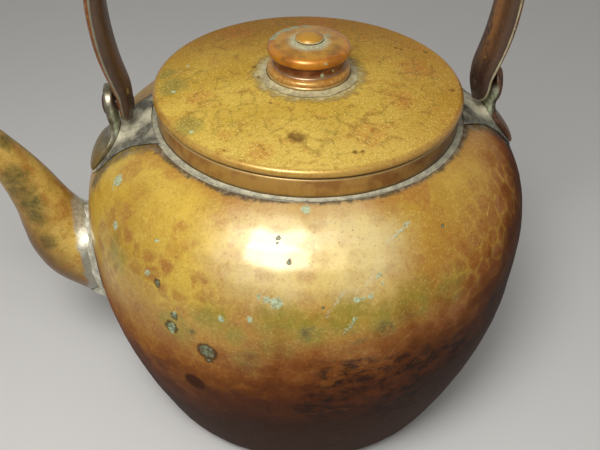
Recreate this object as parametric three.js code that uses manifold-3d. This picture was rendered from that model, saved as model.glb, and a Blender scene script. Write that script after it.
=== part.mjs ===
// Hammered copper kettle: a raised round body, an upright neck collar, a lift-off lid with a turned
// knob, a swan-neck spout, and a hollow seamed bail that swings on two soldered gourd-shaped ears.
// Millimetres, +Z up. The origin is on the resting plane, under the middle of the body. The spout
// points along -X, the ears stand at -X and +X, and the bail swings about a line along X.

import * as THREE from 'three';
import { mergeVertices } from 'three/addons/utils/BufferGeometryUtils.js';
import Module from 'manifold-3d';

const wasm = await Module();
wasm.setup();

// Clearances
const seatGap = 0.3; // between a piece and what carries it, where the two are curved
const fitGap = 0.3; // round a pin in its bore
const mergeDistance = 1e-4; // points closer than this are one
const cutOverrun = 4; // how far a cutting tool runs past the metal

// Body shell
const bodyHeight = 125; // resting plane to the flat rim that carries the collar
const bellyRadius = 85;
const bellyHeight = 66;
const footRadius = 69.5; // where the flank would meet the resting plane
const heelRadius = 12; // rounding between the flank and the flat base
const bodyWall = 1.5;
const shoulderSpread = 1.2; // powers of the shoulder curve, across and up
const shoulderFullness = 4;
const flankBend = 1.6; // power of the flank curve
const rimMargin = 0.3; // flat rim outside the collar's foot
const pourHoleRadius = 12;

// Neck collar and its solder
const collarRadius = 54.3;
const collarWall = 1.6;
const collarHeight = 7.2;
const neckSolderWidth = 1.5;
const neckSolderHeight = 1;

// Lid
const lidRadius = 55;
const lidEdgeRadius = 1.6; // rolled edge
const lidRise = 3.15; // crown of the dome over its edge
const lidWall = 1.4;
const lidSeatWidth = 3.2; // flat underside that rests on the collar
const lidStep = 0.8; // slope where the flat underside meets the dome
const flangeClearance = 0.8; // flange to collar
const flangeWall = 1.2;
const flangeDepth = 9;

// Knob
const knobBaseRadius = 14.7;
const knobBaseHeight = 3.4;
const knobBaseShoulder = 1.4;
const knobNeckRadius = 12.8;
const knobNeckWall = 1.6;
const knobNeckHeight = 3.9;
const knobCapRadius = 14.5;
const knobCapThickness = 4;
const knobCapCrown = 1.1;
const knobRivetRadius = 2.2;
const knobRivetHeadRadius = 5;
const knobRivetHeadHeight = 1.9;
const knobRivetTailRadius = 3.6;
const knobRivetTailHeight = 1.2;
const knobSolderWidth = 2.3;
const knobSolderHeight = 1.1;

// Spout
const spoutRootInset = 6; // how far the spout's line starts inside the belly
const spoutRootHeight = 60;
const spoutReach = 50.5; // root to tip, outward
const spoutRise = 76; // root to tip, upward
const spoutRootRadius = 17.2;
const spoutWall = 1.3;
const spoutSolderWidth = 3.4;
const spoutSolderThickness = 0.9;

// Ears
const pivotRise = 6; // of the pivots over the body's rim
const earPlaceShare = 0.494; // where the ear's plate stands, as a share of the shoulder's width
const earThickness = 3.4;
const earLobeRadius = 6.9;
const earWaistDrop = 8.3; // pivot to waist
const earLeafHalfWidth = 8.6;
const earLeafDropShare = 0.312; // waist to tip, as a share of the shoulder's height

// Ear solder
const earSolderRise = 3.1; // greatest thickness of the pad, at the ear's foot
const earSolderEdge = 0.7;
const earSolderOverlap = 11; // how far the pad runs out past the ear's plate, beside the leaf
const earSolderAngle = 19; // half spread of the pad at the collar, in degrees

// Bail
const bailFootInset = 5.5; // from the ear's plate in to the seam plane of each foot
const bailBulge = 4.1; // how far the widest place lies outside the feet
const bailSpanHeight = 33; // of the widest place, over the pivots
const bailHeight = 97; // of the seam plane at the top, over the pivots
const bailStraight = 4; // straight part of a leg over its pivot
const bailHalfWidth = 8;
const bailTongueRadius = 7.4; // round end of a leg
const bailTongueDrop = 6.2; // pivot to the very tip
const bailOuterDepth = 3.6; // crown of the outer shell over the seam plane
const bailInnerDepth = 2.7; // crown of the inner strip
const bailFootDepthShare = 0.78; // crown at the pivot, as a share of the full crown
const bailTipDepthShare = 0.45; // crown at the very tip
const bailSheet = 0.9;
const bailSeamGap = 0.3;

// Pivot rivets
const pivotRadius = 2.2;
const pivotOuterHeadRadius = 4.2;
const pivotOuterHeadHeight = 1.8;
const pivotInnerHeadRadius = 3.3;
const pivotInnerHeadHeight = 0.8;
const pivotInnerFlatShare = 0.7; // flat of the inner head, as a share of its radius

// Sizes worked out from the ones above
const rimRadius = collarRadius + rimMargin;
const pivotHeight = bodyHeight + pivotRise;
const earRadius = rimRadius + (bellyRadius - rimRadius) * earPlaceShare; // to the middle of the plate
const earLeafDrop = (bodyHeight - bellyHeight) * earLeafDropShare;
const earSolderEnd = earRadius + earSolderOverlap;
const bailFootRadius = earRadius - bailFootInset;
const bailHalfSpan = bailFootRadius + bailBulge;
const mouthRadius = collarRadius - collarWall;
const collarTop = bodyHeight + collarHeight;
const lidUnderside = collarTop + seatGap;
const lidRimHeight = lidUnderside + lidEdgeRadius;
const lidDomeRadius = lidRadius - lidEdgeRadius;
const lidTop = lidRimHeight + lidEdgeRadius + lidRise;
const knobSeat = lidTop + seatGap;
const knobNeckFoot = knobSeat + knobBaseHeight;
const knobCapFoot = knobNeckFoot + knobNeckHeight;
const knobTop = knobCapFoot + knobCapThickness + knobCapCrown;
const knobBore = knobRivetRadius + fitGap;
const pivotBore = pivotRadius + fitGap;

// Facets
const roundSteps = 44;
const knobSteps = 28;
const rivetSteps = 16;
const spoutSides = 18;
const earSides = 14;
const bailArcSteps = 6;

// Path of the spout's middle line, root to tip, and its radius there, as shares of
// the spout's reach, rise and root radius
const spoutShares = [
  [0, 0, 1],
  [0.129, 0.064, 1],
  [0.273, 0.138, 0.95],
  [0.356, 0.21, 0.83],
  [0.414, 0.304, 0.692],
  [0.461, 0.41, 0.575],
  [0.513, 0.513, 0.506],
  [0.58, 0.617, 0.45],
  [0.685, 0.742, 0.405],
  [0.828, 0.872, 0.37],
  [1, 1, 0.355],
];

// Half width of the ear's leaf from waist to tip, as shares of the leaf's length and half width
const leafShares = [
  [0, 0.52],
  [0.12, 0.66],
  [0.28, 0.88],
  [0.45, 1],
  [0.62, 0.98],
  [0.78, 0.82],
  [0.9, 0.56],
  [0.97, 0.3],
  [1, 0.14],
];

// How far the leaf's middle lies outside the shoulder at shares of its drop, in ear thicknesses
const leafLiftShares = [
  [0.2, 1.18],
  [0.45, 0.84],
  [0.72, 0.7],
  [1, 0.38],
];

// Thickness of the leaf at shares of its length from the waist, in ear thicknesses
const leafThicknessShares = [
  [0, 1],
  [0.25, 1.1],
  [0.55, 1.06],
  [0.8, 0.85],
  [1, 0.48],
];

// Solder pad from the collar to its outer end, as shares of its half spread and its rise
const padShares = [
  [1, 0.17],
  [0.87, 0.18],
  [0.76, 0.19],
  [0.66, 0.23],
  [0.58, 0.3],
  [0.53, 1],
  [0.49, 0.62],
  [0.47, 0.24],
  [0.44, 0.18],
  [0.36, 0.17],
  [0.16, 0.17],
];

const copper = (color, roughness) => new THREE.MeshStandardMaterial({ color, roughness, metalness: 0.9 });
const bodyCopper = copper(0xb98a2e, 0.42);
const lidCopper = copper(0xc09238, 0.38);
const darkCopper = copper(0x6b4630, 0.45);
const knobCopper = copper(0xb5702f, 0.34);
const bronze = copper(0x8a7a62, 0.45);
const solder = copper(0xb9b6a2, 0.6);

const kettle = new THREE.Group();

function addPiece(name, geometry, material) {
  const mesh = new THREE.Mesh(geometry, material);
  mesh.name = name;
  kettle.add(mesh);
}

const smooth = (t) => {
  const x = Math.min(Math.max(t, 0), 1);
  return x * x * (3 - 2 * x);
};

// Value at x in a table of [x, value] rows
function along(table, x) {
  const next = table.findIndex((row) => row[0] >= x);
  if (next <= 0) return table[next === 0 ? 0 : table.length - 1][1];
  const [a, b] = [table[next - 1], table[next]];
  return a[1] + ((b[1] - a[1]) * (x - a[0])) / (b[0] - a[0]);
}

// Closed geometry with shared vertices, no empty triangles and its faces pointing out
function cleaned(geometry) {
  const bare = geometry.index ? geometry.toNonIndexed() : geometry;
  bare.deleteAttribute('normal');
  bare.deleteAttribute('uv');
  const merged = mergeVertices(bare, mergeDistance);
  const { array } = merged.index;
  const place = merged.attributes.position;
  const faces = [];
  let volume = 0;
  const [a, b, c] = [new THREE.Vector3(), new THREE.Vector3(), new THREE.Vector3()];
  for (let i = 0; i < array.length; i += 3) {
    const [p, q, r] = [array[i], array[i + 1], array[i + 2]];
    if (p === q || q === r || r === p) continue;
    faces.push([p, q, r]);
    volume += a.fromBufferAttribute(place, p).dot(
      b.fromBufferAttribute(place, q).cross(c.fromBufferAttribute(place, r)),
    );
  }
  const ordered = volume < 0 ? faces.map(([p, q, r]) => [p, r, q]) : faces;
  merged.setIndex(ordered.flat());
  return merged;
}

function toSolid(geometry) {
  return new wasm.Manifold(new wasm.Mesh({
    numProp: 3,
    vertProperties: new Float32Array(geometry.attributes.position.array),
    triVerts: new Uint32Array(geometry.index.array),
  }));
}

function toGeometry(solid) {
  const mesh = solid.getMesh();
  const geometry = new THREE.BufferGeometry();
  geometry.setAttribute('position', new THREE.BufferAttribute(mesh.vertProperties.slice(), mesh.numProp));
  geometry.setIndex([...mesh.triVerts]);
  return geometry;
}

const cut = (geometry, ...tools) => toGeometry(
  tools.reduce((solid, tool) => solid.subtract(toSolid(tool)), toSolid(geometry)),
);

// A profile of [radius, height] points turned about the Z axis
function turned(points, steps = roundSteps) {
  const profile = points.map(([radius, height]) => new THREE.Vector2(radius, height));
  return cleaned(new THREE.LatheGeometry(profile, steps).rotateX(Math.PI / 2));
}

// The same, for a profile that closes on itself off the axis
const turnedRing = (points, steps) => turned([...points, points[0]], steps);

// Skin over rings of equal count. An open skin is capped by joining each point of an end ring
// with the one that mirrors it, so a ring lists one side of its section and then the other.
function skinned(rings, closed = false) {
  const count = rings[0].length;
  const at = (i, j) => (i % rings.length) * count + (j % count);
  const index = [];
  const quad = (p, q, r, s) => index.push(p, q, r, p, r, s);
  for (let i = 0; i < rings.length - (closed ? 0 : 1); i++) {
    for (let j = 0; j < count; j++) quad(at(i, j), at(i, j + 1), at(i + 1, j + 1), at(i + 1, j));
  }
  const last = rings.length - 1;
  for (let j = 0; !closed && j < count / 2 - 1; j++) {
    const k = count - 1 - j;
    quad(at(0, j + 1), at(0, j), at(0, k), at(0, k - 1));
    quad(at(last, j), at(last, j + 1), at(last, k - 1), at(last, k));
  }
  const geometry = new THREE.BufferGeometry().setFromPoints(rings.flat());
  geometry.setIndex(index);
  return cleaned(geometry);
}

// A round cutter or bar along X
function barAlongX(radius, from, to, steps = rivetSteps) {
  const bar = new THREE.CylinderGeometry(radius, radius, to - from, steps).rotateZ(Math.PI / 2);
  return cleaned(bar.translate((from + to) / 2, 0, pivotHeight));
}

const halfTurn = (geometry) => geometry.clone().rotateZ(Math.PI);

// Outline of the body

const shoulderHeightAt = (radius) => {
  const out = Math.max(radius - rimRadius, 0) / (bellyRadius - rimRadius);
  return bellyHeight + (bodyHeight - bellyHeight) * (1 - out ** shoulderSpread) ** (1 / shoulderFullness);
};

const shoulderRadiusAt = (height) => {
  const up = (height - bellyHeight) / (bodyHeight - bellyHeight);
  return rimRadius + (bellyRadius - rimRadius) * (1 - up ** shoulderFullness) ** (1 / shoulderSpread);
};

const flankRadiusAt = (height) => (
  bellyRadius - (bellyRadius - footRadius) * ((bellyHeight - height) / bellyHeight) ** flankBend
);

function bodyOutline() {
  const points = [];
  // Heel: an arc that leaves the base flat and runs into the flank along its slope
  const slope = Math.atan(((bellyRadius - footRadius) * flankBend) / bellyHeight);
  const heelTop = heelRadius * (1 - Math.sin(slope));
  const heelCentre = flankRadiusAt(heelTop) - heelRadius * Math.cos(slope);
  const heelSteps = 4;
  for (let i = 0; i <= heelSteps; i++) {
    const turn = -Math.PI / 2 + ((Math.PI / 2 - slope) * i) / heelSteps;
    points.push([heelCentre + heelRadius * Math.cos(turn), heelRadius * (1 + Math.sin(turn))]);
  }
  const flankSteps = 6;
  for (let i = 1; i < flankSteps; i++) {
    const height = heelTop + ((bellyHeight - heelTop) * i) / flankSteps;
    points.push([flankRadiusAt(height), height]);
  }
  // Shoulder: sin and cos raised to powers keep the points even along the curve
  const shoulderSteps = 10;
  for (let i = 0; i <= shoulderSteps; i++) {
    const turn = (Math.PI / 2) * (1 - (i / shoulderSteps) ** 2);
    const out = Math.sin(turn) ** (2 / shoulderSpread);
    const up = Math.max(Math.cos(turn), 0) ** (2 / shoulderFullness);
    points.push([
      rimRadius + (bellyRadius - rimRadius) * out,
      bellyHeight + (bodyHeight - bellyHeight) * up,
    ]);
  }
  return points;
}

// The outline moved along its normals, outward for a positive distance
function offsetOutline(points, distance) {
  return points.map(([radius, height], i) => {
    const before = points[Math.max(i - 1, 0)];
    const after = points[Math.min(i + 1, points.length - 1)];
    const run = i === 0 ? [1, 0] : [after[0] - before[0], after[1] - before[1]];
    const length = Math.hypot(...run);
    return [radius + (distance * run[1]) / length, height - (distance * run[0]) / length];
  });
}

const outline = bodyOutline();

// The whole body as a solid, grown by a distance, for cutting what is soldered to it
function bodyBlock(grow) {
  const grown = offsetOutline(outline, grow);
  const top = grown[grown.length - 1][1];
  return turned([[0, -grow], ...grown, [0, top]]);
}

// Spout

const spoutStart = new THREE.Vector3(-(bellyRadius - spoutRootInset), 0, spoutRootHeight);
const spoutCurve = new THREE.CatmullRomCurve3(spoutShares.map(([out, up]) => new THREE.Vector3(
  spoutStart.x - spoutReach * out,
  0,
  spoutStart.z + spoutRise * up,
)), false, 'centripetal');
const spoutStations = 20;

// Rings round the spout's line between two shares of its table, at its radius plus a growth
function spoutRings(grow, first = 0, last = 1, stations = spoutStations) {
  const rings = [];
  for (let i = 0; i <= stations; i++) {
    const t = first + ((last - first) * i) / stations;
    const centre = spoutCurve.getPoint(t);
    const tangent = spoutCurve.getTangent(t);
    const side = new THREE.Vector3(0, 1, 0);
    const up = tangent.clone().cross(side);
    const row = t * (spoutShares.length - 1);
    const low = Math.min(Math.floor(row), spoutShares.length - 2);
    const share = THREE.MathUtils.lerp(spoutShares[low][2], spoutShares[low + 1][2], row - low);
    const radius = spoutRootRadius * share + grow;
    const ring = [];
    for (let j = 0; j < spoutSides; j++) {
      const turn = ((j + 0.5) / spoutSides) * 2 * Math.PI;
      ring.push(centre.clone()
        .addScaledVector(up, radius * Math.cos(turn))
        .addScaledVector(side, radius * Math.sin(turn)));
    }
    rings.push(ring);
  }
  return rings;
}

const spoutTube = skinned([...spoutRings(0), ...spoutRings(-spoutWall).reverse()], true);
addPiece('spout', cut(spoutTube, bodyBlock(seatGap)), bodyCopper);

const solderEnd = 0.4; // share of the spout's line that the solder band is cut from
const solderStations = 9;
const spoutSolderSleeve = skinned([
  ...spoutRings(seatGap + spoutSolderThickness, 0, solderEnd, solderStations),
  ...spoutRings(seatGap, 0, solderEnd, solderStations).reverse(),
], true);
const spoutSolderBand = toGeometry(
  toSolid(spoutSolderSleeve)
    .intersect(toSolid(bodyBlock(spoutSolderWidth)))
    .subtract(toSolid(bodyBlock(seatGap))),
);
addPiece('spout_solder', spoutSolderBand, solder);

// Body shell, with the mouth open and a round pour hole behind the spout

const inner = offsetOutline(outline, -bodyWall).filter((_, i) => i % 2 === 0);
const shell = turned([
  [0, 0],
  ...outline,
  [mouthRadius, bodyHeight],
  [mouthRadius, bodyHeight - bodyWall],
  ...inner.slice(0, -1).reverse(),
  [0, bodyWall],
]);
const pourDepth = bellyRadius - mouthRadius;
const pourTool = new THREE.CylinderGeometry(pourHoleRadius, pourHoleRadius, pourDepth, rivetSteps)
  .rotateZ(Math.PI / 2)
  .translate(-bellyRadius, 0, spoutRootHeight + spoutRise * spoutShares[1][1]);
addPiece('body_shell', cut(shell, cleaned(pourTool)), bodyCopper);

// Neck collar, butted on the body's rim, with a rounded top edge

const lipRadius = collarWall / 2;
const lipPoints = [];
const lipSteps = 4;
for (let i = 0; i <= lipSteps; i++) {
  const turn = (Math.PI * i) / lipSteps;
  lipPoints.push([
    mouthRadius + lipRadius + lipRadius * Math.cos(turn),
    collarTop - lipRadius + lipRadius * Math.sin(turn),
  ]);
}
addPiece('neck_collar', turnedRing([
  [mouthRadius, bodyHeight],
  [collarRadius, bodyHeight],
  ...lipPoints,
]), darkCopper);

const solderFoot = collarRadius + seatGap;
addPiece('neck_solder', turnedRing([
  [solderFoot, bodyHeight + seatGap],
  [solderFoot + neckSolderWidth, shoulderHeightAt(solderFoot + neckSolderWidth) + seatGap],
  [solderFoot + neckSolderWidth, shoulderHeightAt(solderFoot + neckSolderWidth) + 2 * seatGap],
  [solderFoot + neckSolderWidth / 3, bodyHeight + seatGap + neckSolderHeight / 3],
  [solderFoot, bodyHeight + seatGap + neckSolderHeight],
]), solder);

// Lid plate: a shallow dome with a rolled edge and a flat seat under it

const lidDomeAt = (radius) => lidTop - lidRise * (radius / lidDomeRadius) ** 2;
const lidSeatInner = lidDomeRadius - lidSeatWidth;
const domeSteps = 4;
const lidTopPoints = [];
const lidUnderPoints = [];
for (let i = 0; i <= domeSteps; i++) {
  const onTop = THREE.MathUtils.lerp(knobBore, lidDomeRadius, i / domeSteps);
  const under = THREE.MathUtils.lerp(lidSeatInner - lidStep, knobBore, i / domeSteps);
  lidTopPoints.push([onTop, lidDomeAt(onTop)]);
  lidUnderPoints.push([under, lidDomeAt(under) - lidWall]);
}
const lidEdgePoints = [];
const edgeSteps = 5;
for (let i = 1; i <= edgeSteps; i++) {
  const turn = Math.PI / 2 - (Math.PI * i) / edgeSteps;
  lidEdgePoints.push([
    lidDomeRadius + lidEdgeRadius * Math.cos(turn),
    lidRimHeight + lidEdgeRadius * Math.sin(turn),
  ]);
}
addPiece('lid_plate', turnedRing([
  ...lidTopPoints,
  ...lidEdgePoints,
  [lidSeatInner, lidUnderside],
  ...lidUnderPoints,
]), lidCopper);

const flangeRadius = mouthRadius - flangeClearance;
addPiece('lid_flange', turnedRing([
  [flangeRadius - flangeWall, lidUnderside],
  [flangeRadius, lidUnderside],
  [flangeRadius, lidUnderside - flangeDepth],
  [flangeRadius - flangeWall, lidUnderside - flangeDepth],
]), darkCopper);

// Knob: base ring, hollow neck drum, domed cap and the rivet that holds them to the lid

const shoulderArc = (radius, top, rounding, steps) => Array.from({ length: steps + 1 }, (_, i) => {
  const turn = ((Math.PI / 2) * i) / steps;
  return [radius - rounding * (1 - Math.cos(turn)), top - rounding * (1 - Math.sin(turn))];
});
addPiece('knob_base_ring', turnedRing([
  [knobBore, knobSeat],
  [knobBaseRadius, lidDomeAt(knobBaseRadius) + seatGap],
  ...shoulderArc(knobBaseRadius, knobNeckFoot, knobBaseShoulder, 4),
  [knobBore, knobNeckFoot],
], knobSteps), knobCopper);

addPiece('knob_neck', turnedRing([
  [knobNeckRadius - knobNeckWall, knobNeckFoot],
  [knobNeckRadius, knobNeckFoot],
  [knobNeckRadius, knobCapFoot],
  [knobNeckRadius - knobNeckWall, knobCapFoot],
], knobSteps), knobCopper);

const capEdge = knobCapThickness / 2;
const capPoints = [];
const capSteps = 6;
for (let i = 0; i <= capSteps; i++) {
  const turn = -Math.PI / 2 + (Math.PI * i) / capSteps;
  capPoints.push([
    knobCapRadius - capEdge + capEdge * Math.cos(turn),
    knobCapFoot + capEdge + capEdge * Math.sin(turn),
  ]);
}
const crownSteps = 4;
for (let i = 1; i <= crownSteps; i++) {
  const radius = THREE.MathUtils.lerp(knobCapRadius - capEdge, knobBore, i / crownSteps);
  const share = radius / (knobCapRadius - capEdge);
  capPoints.push([radius, knobTop - knobCapCrown * share ** 2]);
}
addPiece('knob_cap', turnedRing([[knobBore, knobCapFoot], ...capPoints], knobSteps), knobCopper);

// A domed head as [radius, height] points, from its rim to its top on the axis
const domedHead = (radius, foot, height, steps) => Array.from({ length: steps + 1 }, (_, i) => {
  const turn = ((Math.PI / 2) * i) / steps;
  return [i === steps ? 0 : radius * Math.cos(turn), foot + height * Math.sin(turn)];
});

const tailTop = lidDomeAt(0) - lidWall - seatGap;
addPiece('knob_rivet', turned([
  [0, tailTop - knobRivetTailHeight],
  [knobRivetTailRadius, tailTop - knobRivetTailHeight],
  [knobRivetTailRadius, tailTop],
  [knobRivetRadius, tailTop],
  [knobRivetRadius, knobTop + seatGap],
  ...domedHead(knobRivetHeadRadius, knobTop + seatGap, knobRivetHeadHeight, 5),
], rivetSteps), knobCopper);

const knobSolderFoot = knobBaseRadius + seatGap;
addPiece('knob_solder', turnedRing([
  [knobSolderFoot, lidDomeAt(knobSolderFoot) + seatGap],
  [knobSolderFoot + knobSolderWidth, lidDomeAt(knobSolderFoot + knobSolderWidth) + seatGap],
  [knobSolderFoot + knobSolderWidth, lidDomeAt(knobSolderFoot + knobSolderWidth) + 2 * seatGap],
  [knobSolderFoot + knobSolderWidth / 2, lidDomeAt(knobSolderFoot) + seatGap + knobSolderHeight / 2],
  [knobSolderFoot, lidDomeAt(knobSolderFoot) + seatGap + knobSolderHeight],
], knobSteps), solder);

// Ears: one bent plate each, a round lobe for the pivot, a waist, and a leaf down the shoulder

const waistHeight = pivotHeight - earWaistDrop;
const earCurve = new THREE.CatmullRomCurve3([
  new THREE.Vector3(earRadius, 0, pivotHeight + earLobeRadius),
  new THREE.Vector3(earRadius, 0, pivotHeight + earLobeRadius / 2),
  new THREE.Vector3(earRadius, 0, pivotHeight),
  new THREE.Vector3(earRadius, 0, pivotHeight - earLobeRadius / 2),
  new THREE.Vector3(earRadius, 0, waistHeight),
  ...leafLiftShares.map(([share, lift]) => {
    const height = waistHeight - earLeafDrop * share;
    return new THREE.Vector3(shoulderRadiusAt(height) + earThickness * lift, 0, height);
  }),
], false, 'centripetal');
const earLength = earCurve.getLength();
const lobeLength = earLobeRadius + earWaistDrop;

// Half width of the ear at a distance from its top, along the plate
function earHalfWidthAt(distance) {
  if (distance < lobeLength) {
    const fromCentre = distance - earLobeRadius;
    return Math.sqrt(Math.max(earLobeRadius ** 2 - fromCentre ** 2, 0));
  }
  return earLeafHalfWidth * along(leafShares, (distance - lobeLength) / (earLength - lobeLength));
}

const waistHalfWidth = earLeafHalfWidth * leafShares[0][1];
const plateRoundness = 0.55; // power of the section, smaller is squarer

// The ear as a solid, grown on every side by a distance
function earPlate(grow) {
  const shares = [0.004, 0.02, 0.05, 0.1, 0.16, 0.23, 0.3, 0.36, 0.41, 0.45];
  for (const [share] of leafShares) {
    shares.push((lobeLength + (earLength - lobeLength) * share) / earLength);
  }
  const rings = shares.map((share) => {
    const centre = earCurve.getPointAt(share);
    const tangent = earCurve.getTangentAt(share);
    const side = new THREE.Vector3(0, 1, 0);
    const out = side.clone().cross(tangent).normalize();
    const distance = earLength * share;
    const least = distance > earLobeRadius && distance < lobeLength ? waistHalfWidth : 0;
    const wide = Math.max(earHalfWidthAt(distance), least) + grow;
    const leaf = Math.max((distance - lobeLength) / (earLength - lobeLength), 0);
    const thickness = (earThickness * along(leafThicknessShares, leaf)) / 2 + grow;
    const ring = [];
    for (let j = 0; j < earSides; j++) {
      const turn = ((j + 0.5) / earSides) * 2 * Math.PI;
      const [x, y] = [Math.cos(turn), Math.sin(turn)];
      ring.push(centre.clone()
        .addScaledVector(side, wide * Math.sign(x) * Math.abs(x) ** plateRoundness)
        .addScaledVector(out, thickness * Math.sign(y) * Math.abs(y) ** plateRoundness));
    }
    return ring;
  });
  return skinned(rings);
}

const earReach = earThickness + cutOverrun;
const earTool = barAlongX(pivotBore, earRadius - earReach, earRadius + earReach);
const rightEar = cut(earPlate(0), earTool);
addPiece('right_ear', rightEar, bronze);
addPiece('left_ear', halfTurn(rightEar), bronze);

// Solder pads: from the neck solder out under the waist of each ear, thick at the ear's foot

const padStart = solderFoot + neckSolderWidth + seatGap;
const padRings = padShares.map(([spread, height], i) => {
  const t = i / (padShares.length - 1);
  const radius = THREE.MathUtils.lerp(padStart, earSolderEnd, t);
  const angle = THREE.MathUtils.degToRad(earSolderAngle * spread);
  const crest = earSolderRise * height;
  const bottom = shoulderHeightAt(radius) + 2 * seatGap;
  const halfSteps = 6;
  const [top, foot] = [[], []];
  for (let j = 0; j <= halfSteps; j++) {
    const across = -1 + (2 * j) / halfSteps;
    const [x, y] = [radius * Math.cos(angle * across), radius * Math.sin(angle * across)];
    const rise = earSolderEdge + (crest - earSolderEdge) * (1 - across ** 2) ** 2;
    top.push(new THREE.Vector3(x, y, bottom + rise));
    foot.unshift(new THREE.Vector3(x, y, bottom));
  }
  return [...top, ...foot];
});
const rightPad = cut(skinned(padRings), earPlate(seatGap));
addPiece('right_ear_solder', rightPad, solder);
addPiece('left_ear_solder', halfTurn(rightPad), solder);

// Bail: an outer shell and an inner strip swept along one arch, meeting at a seam on both edges

const archPoint = (out, up) => new THREE.Vector3(out, 0, pivotHeight + up);
const footBendShare = 0.15; // length of the curve handles, as a share of each rise
const spanBendShare = 0.6;
const archShare = 0.58;
const legCurve = (side) => new THREE.CubicBezierCurve3(
  archPoint(side * bailFootRadius, bailStraight),
  archPoint(side * bailFootRadius, bailStraight + (bailSpanHeight - bailStraight) * footBendShare),
  archPoint(side * bailHalfSpan, bailSpanHeight - (bailSpanHeight - bailStraight) * spanBendShare),
  archPoint(side * bailHalfSpan, bailSpanHeight),
);
const crownCurve = (side) => new THREE.CubicBezierCurve3(
  archPoint(side * bailHalfSpan, bailSpanHeight),
  archPoint(side * bailHalfSpan, bailSpanHeight + (bailHeight - bailSpanHeight) * archShare),
  archPoint(side * bailHalfSpan * archShare, bailHeight),
  archPoint(0, bailHeight),
);

function reversed(curve) {
  const { v0, v1, v2, v3 } = curve;
  return new THREE.CubicBezierCurve3(v3, v2, v1, v0);
}

const bailCurve = new THREE.CurvePath();
bailCurve.add(new THREE.LineCurve3(
  archPoint(bailFootRadius, -bailTongueDrop),
  archPoint(bailFootRadius, bailStraight),
));
bailCurve.add(legCurve(1));
bailCurve.add(crownCurve(1));
bailCurve.add(reversed(crownCurve(-1)));
bailCurve.add(reversed(legCurve(-1)));
bailCurve.add(new THREE.LineCurve3(
  archPoint(-bailFootRadius, bailStraight),
  archPoint(-bailFootRadius, -bailTongueDrop),
));
const bailLength = bailCurve.getLength();

// Distances from a tip, in tongue radii, where the tongue needs its own sections
const tongueShares = [0.05, 0.16, 0.36, 0.65, 1, 1.5, 2.1, 2.8];
const bailSteps = 22;
const tongueEnd = bailTongueRadius * tongueShares[tongueShares.length - 1];
const bailStations = tongueShares.map((share) => bailTongueRadius * share);
for (let i = 1; i < bailSteps; i++) {
  bailStations.push(tongueEnd + ((bailLength - 2 * tongueEnd) * i) / bailSteps);
}
bailStations.push(...tongueShares.map((share) => bailLength - bailTongueRadius * share).reverse());

// One of the bail's two sheets: side is 1 for the outer shell and -1 for the inner strip
function bailSheetSkin(side, depth) {
  const rings = bailStations.map((station) => {
    const share = station / bailLength;
    const centre = bailCurve.getPointAt(share);
    const tangent = bailCurve.getTangentAt(share);
    const across = new THREE.Vector3(0, 1, 0);
    const out = across.clone().cross(tangent).normalize().multiplyScalar(side);
    const fromTip = Math.min(station, bailLength - station);
    const inTongue = Math.min(fromTip / bailTongueRadius, 1);
    const tongue = bailTongueRadius * Math.sqrt(1 - (1 - inTongue) ** 2);
    const halfWidth = tongue + (bailHalfWidth - bailTongueRadius) * smooth(fromTip / bailTongueRadius - 1);
    const tipToFoot = THREE.MathUtils.lerp(bailTipDepthShare, bailFootDepthShare, smooth(inTongue));
    const fullness = tipToFoot + (1 - bailFootDepthShare) * smooth(fromTip / tongueEnd - 0.5);
    const crown = depth * fullness;
    const [outer, hollow] = [[], []];
    for (let j = 0; j <= bailArcSteps; j++) {
      const turn = (Math.PI * j) / bailArcSteps;
      const [wide, high] = [-Math.cos(turn), Math.sin(turn)];
      const bore = Math.max(halfWidth - bailSheet, halfWidth / 2);
      outer.push(centre.clone()
        .addScaledVector(across, halfWidth * wide)
        .addScaledVector(out, bailSeamGap / 2 + crown * high));
      hollow.unshift(centre.clone()
        .addScaledVector(across, bore * wide)
        .addScaledVector(out, bailSeamGap / 2 + Math.max(crown - bailSheet, 0) * high));
    }
    return [...outer, ...hollow];
  });
  return skinned(rings);
}

const bailReach = bailFootRadius + bailOuterDepth + cutOverrun;
const bailTool = barAlongX(pivotBore, -bailReach, bailReach);
addPiece('bail_outer_shell', cut(bailSheetSkin(1, bailOuterDepth), bailTool), darkCopper);
addPiece('bail_inner_strip', cut(bailSheetSkin(-1, bailInnerDepth), bailTool), darkCopper);

// Pivot rivets: domed outside the ear, a low head inside the bail's foot

const innerHeadFoot = bailFootRadius - bailSeamGap / 2 - bailInnerDepth * bailFootDepthShare - seatGap;
const outerHeadFoot = earRadius + earThickness / 2 + seatGap;
const pivotRivet = turned([
  [0, innerHeadFoot - pivotInnerHeadHeight],
  [pivotInnerHeadRadius * pivotInnerFlatShare, innerHeadFoot - pivotInnerHeadHeight],
  [pivotInnerHeadRadius, innerHeadFoot - pivotInnerHeadHeight / 2],
  [pivotInnerHeadRadius, innerHeadFoot],
  [pivotRadius, innerHeadFoot],
  [pivotRadius, outerHeadFoot],
  ...domedHead(pivotOuterHeadRadius, outerHeadFoot, pivotOuterHeadHeight, 4),
], rivetSteps).rotateY(Math.PI / 2).translate(0, 0, pivotHeight);
addPiece('right_pivot_rivet', pivotRivet, bronze);
addPiece('left_pivot_rivet', halfTurn(pivotRivet), bronze);

export default kettle;
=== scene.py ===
import math
from functools import reduce

import bpy
import numpy as np
from mathutils import Matrix, Vector


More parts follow.
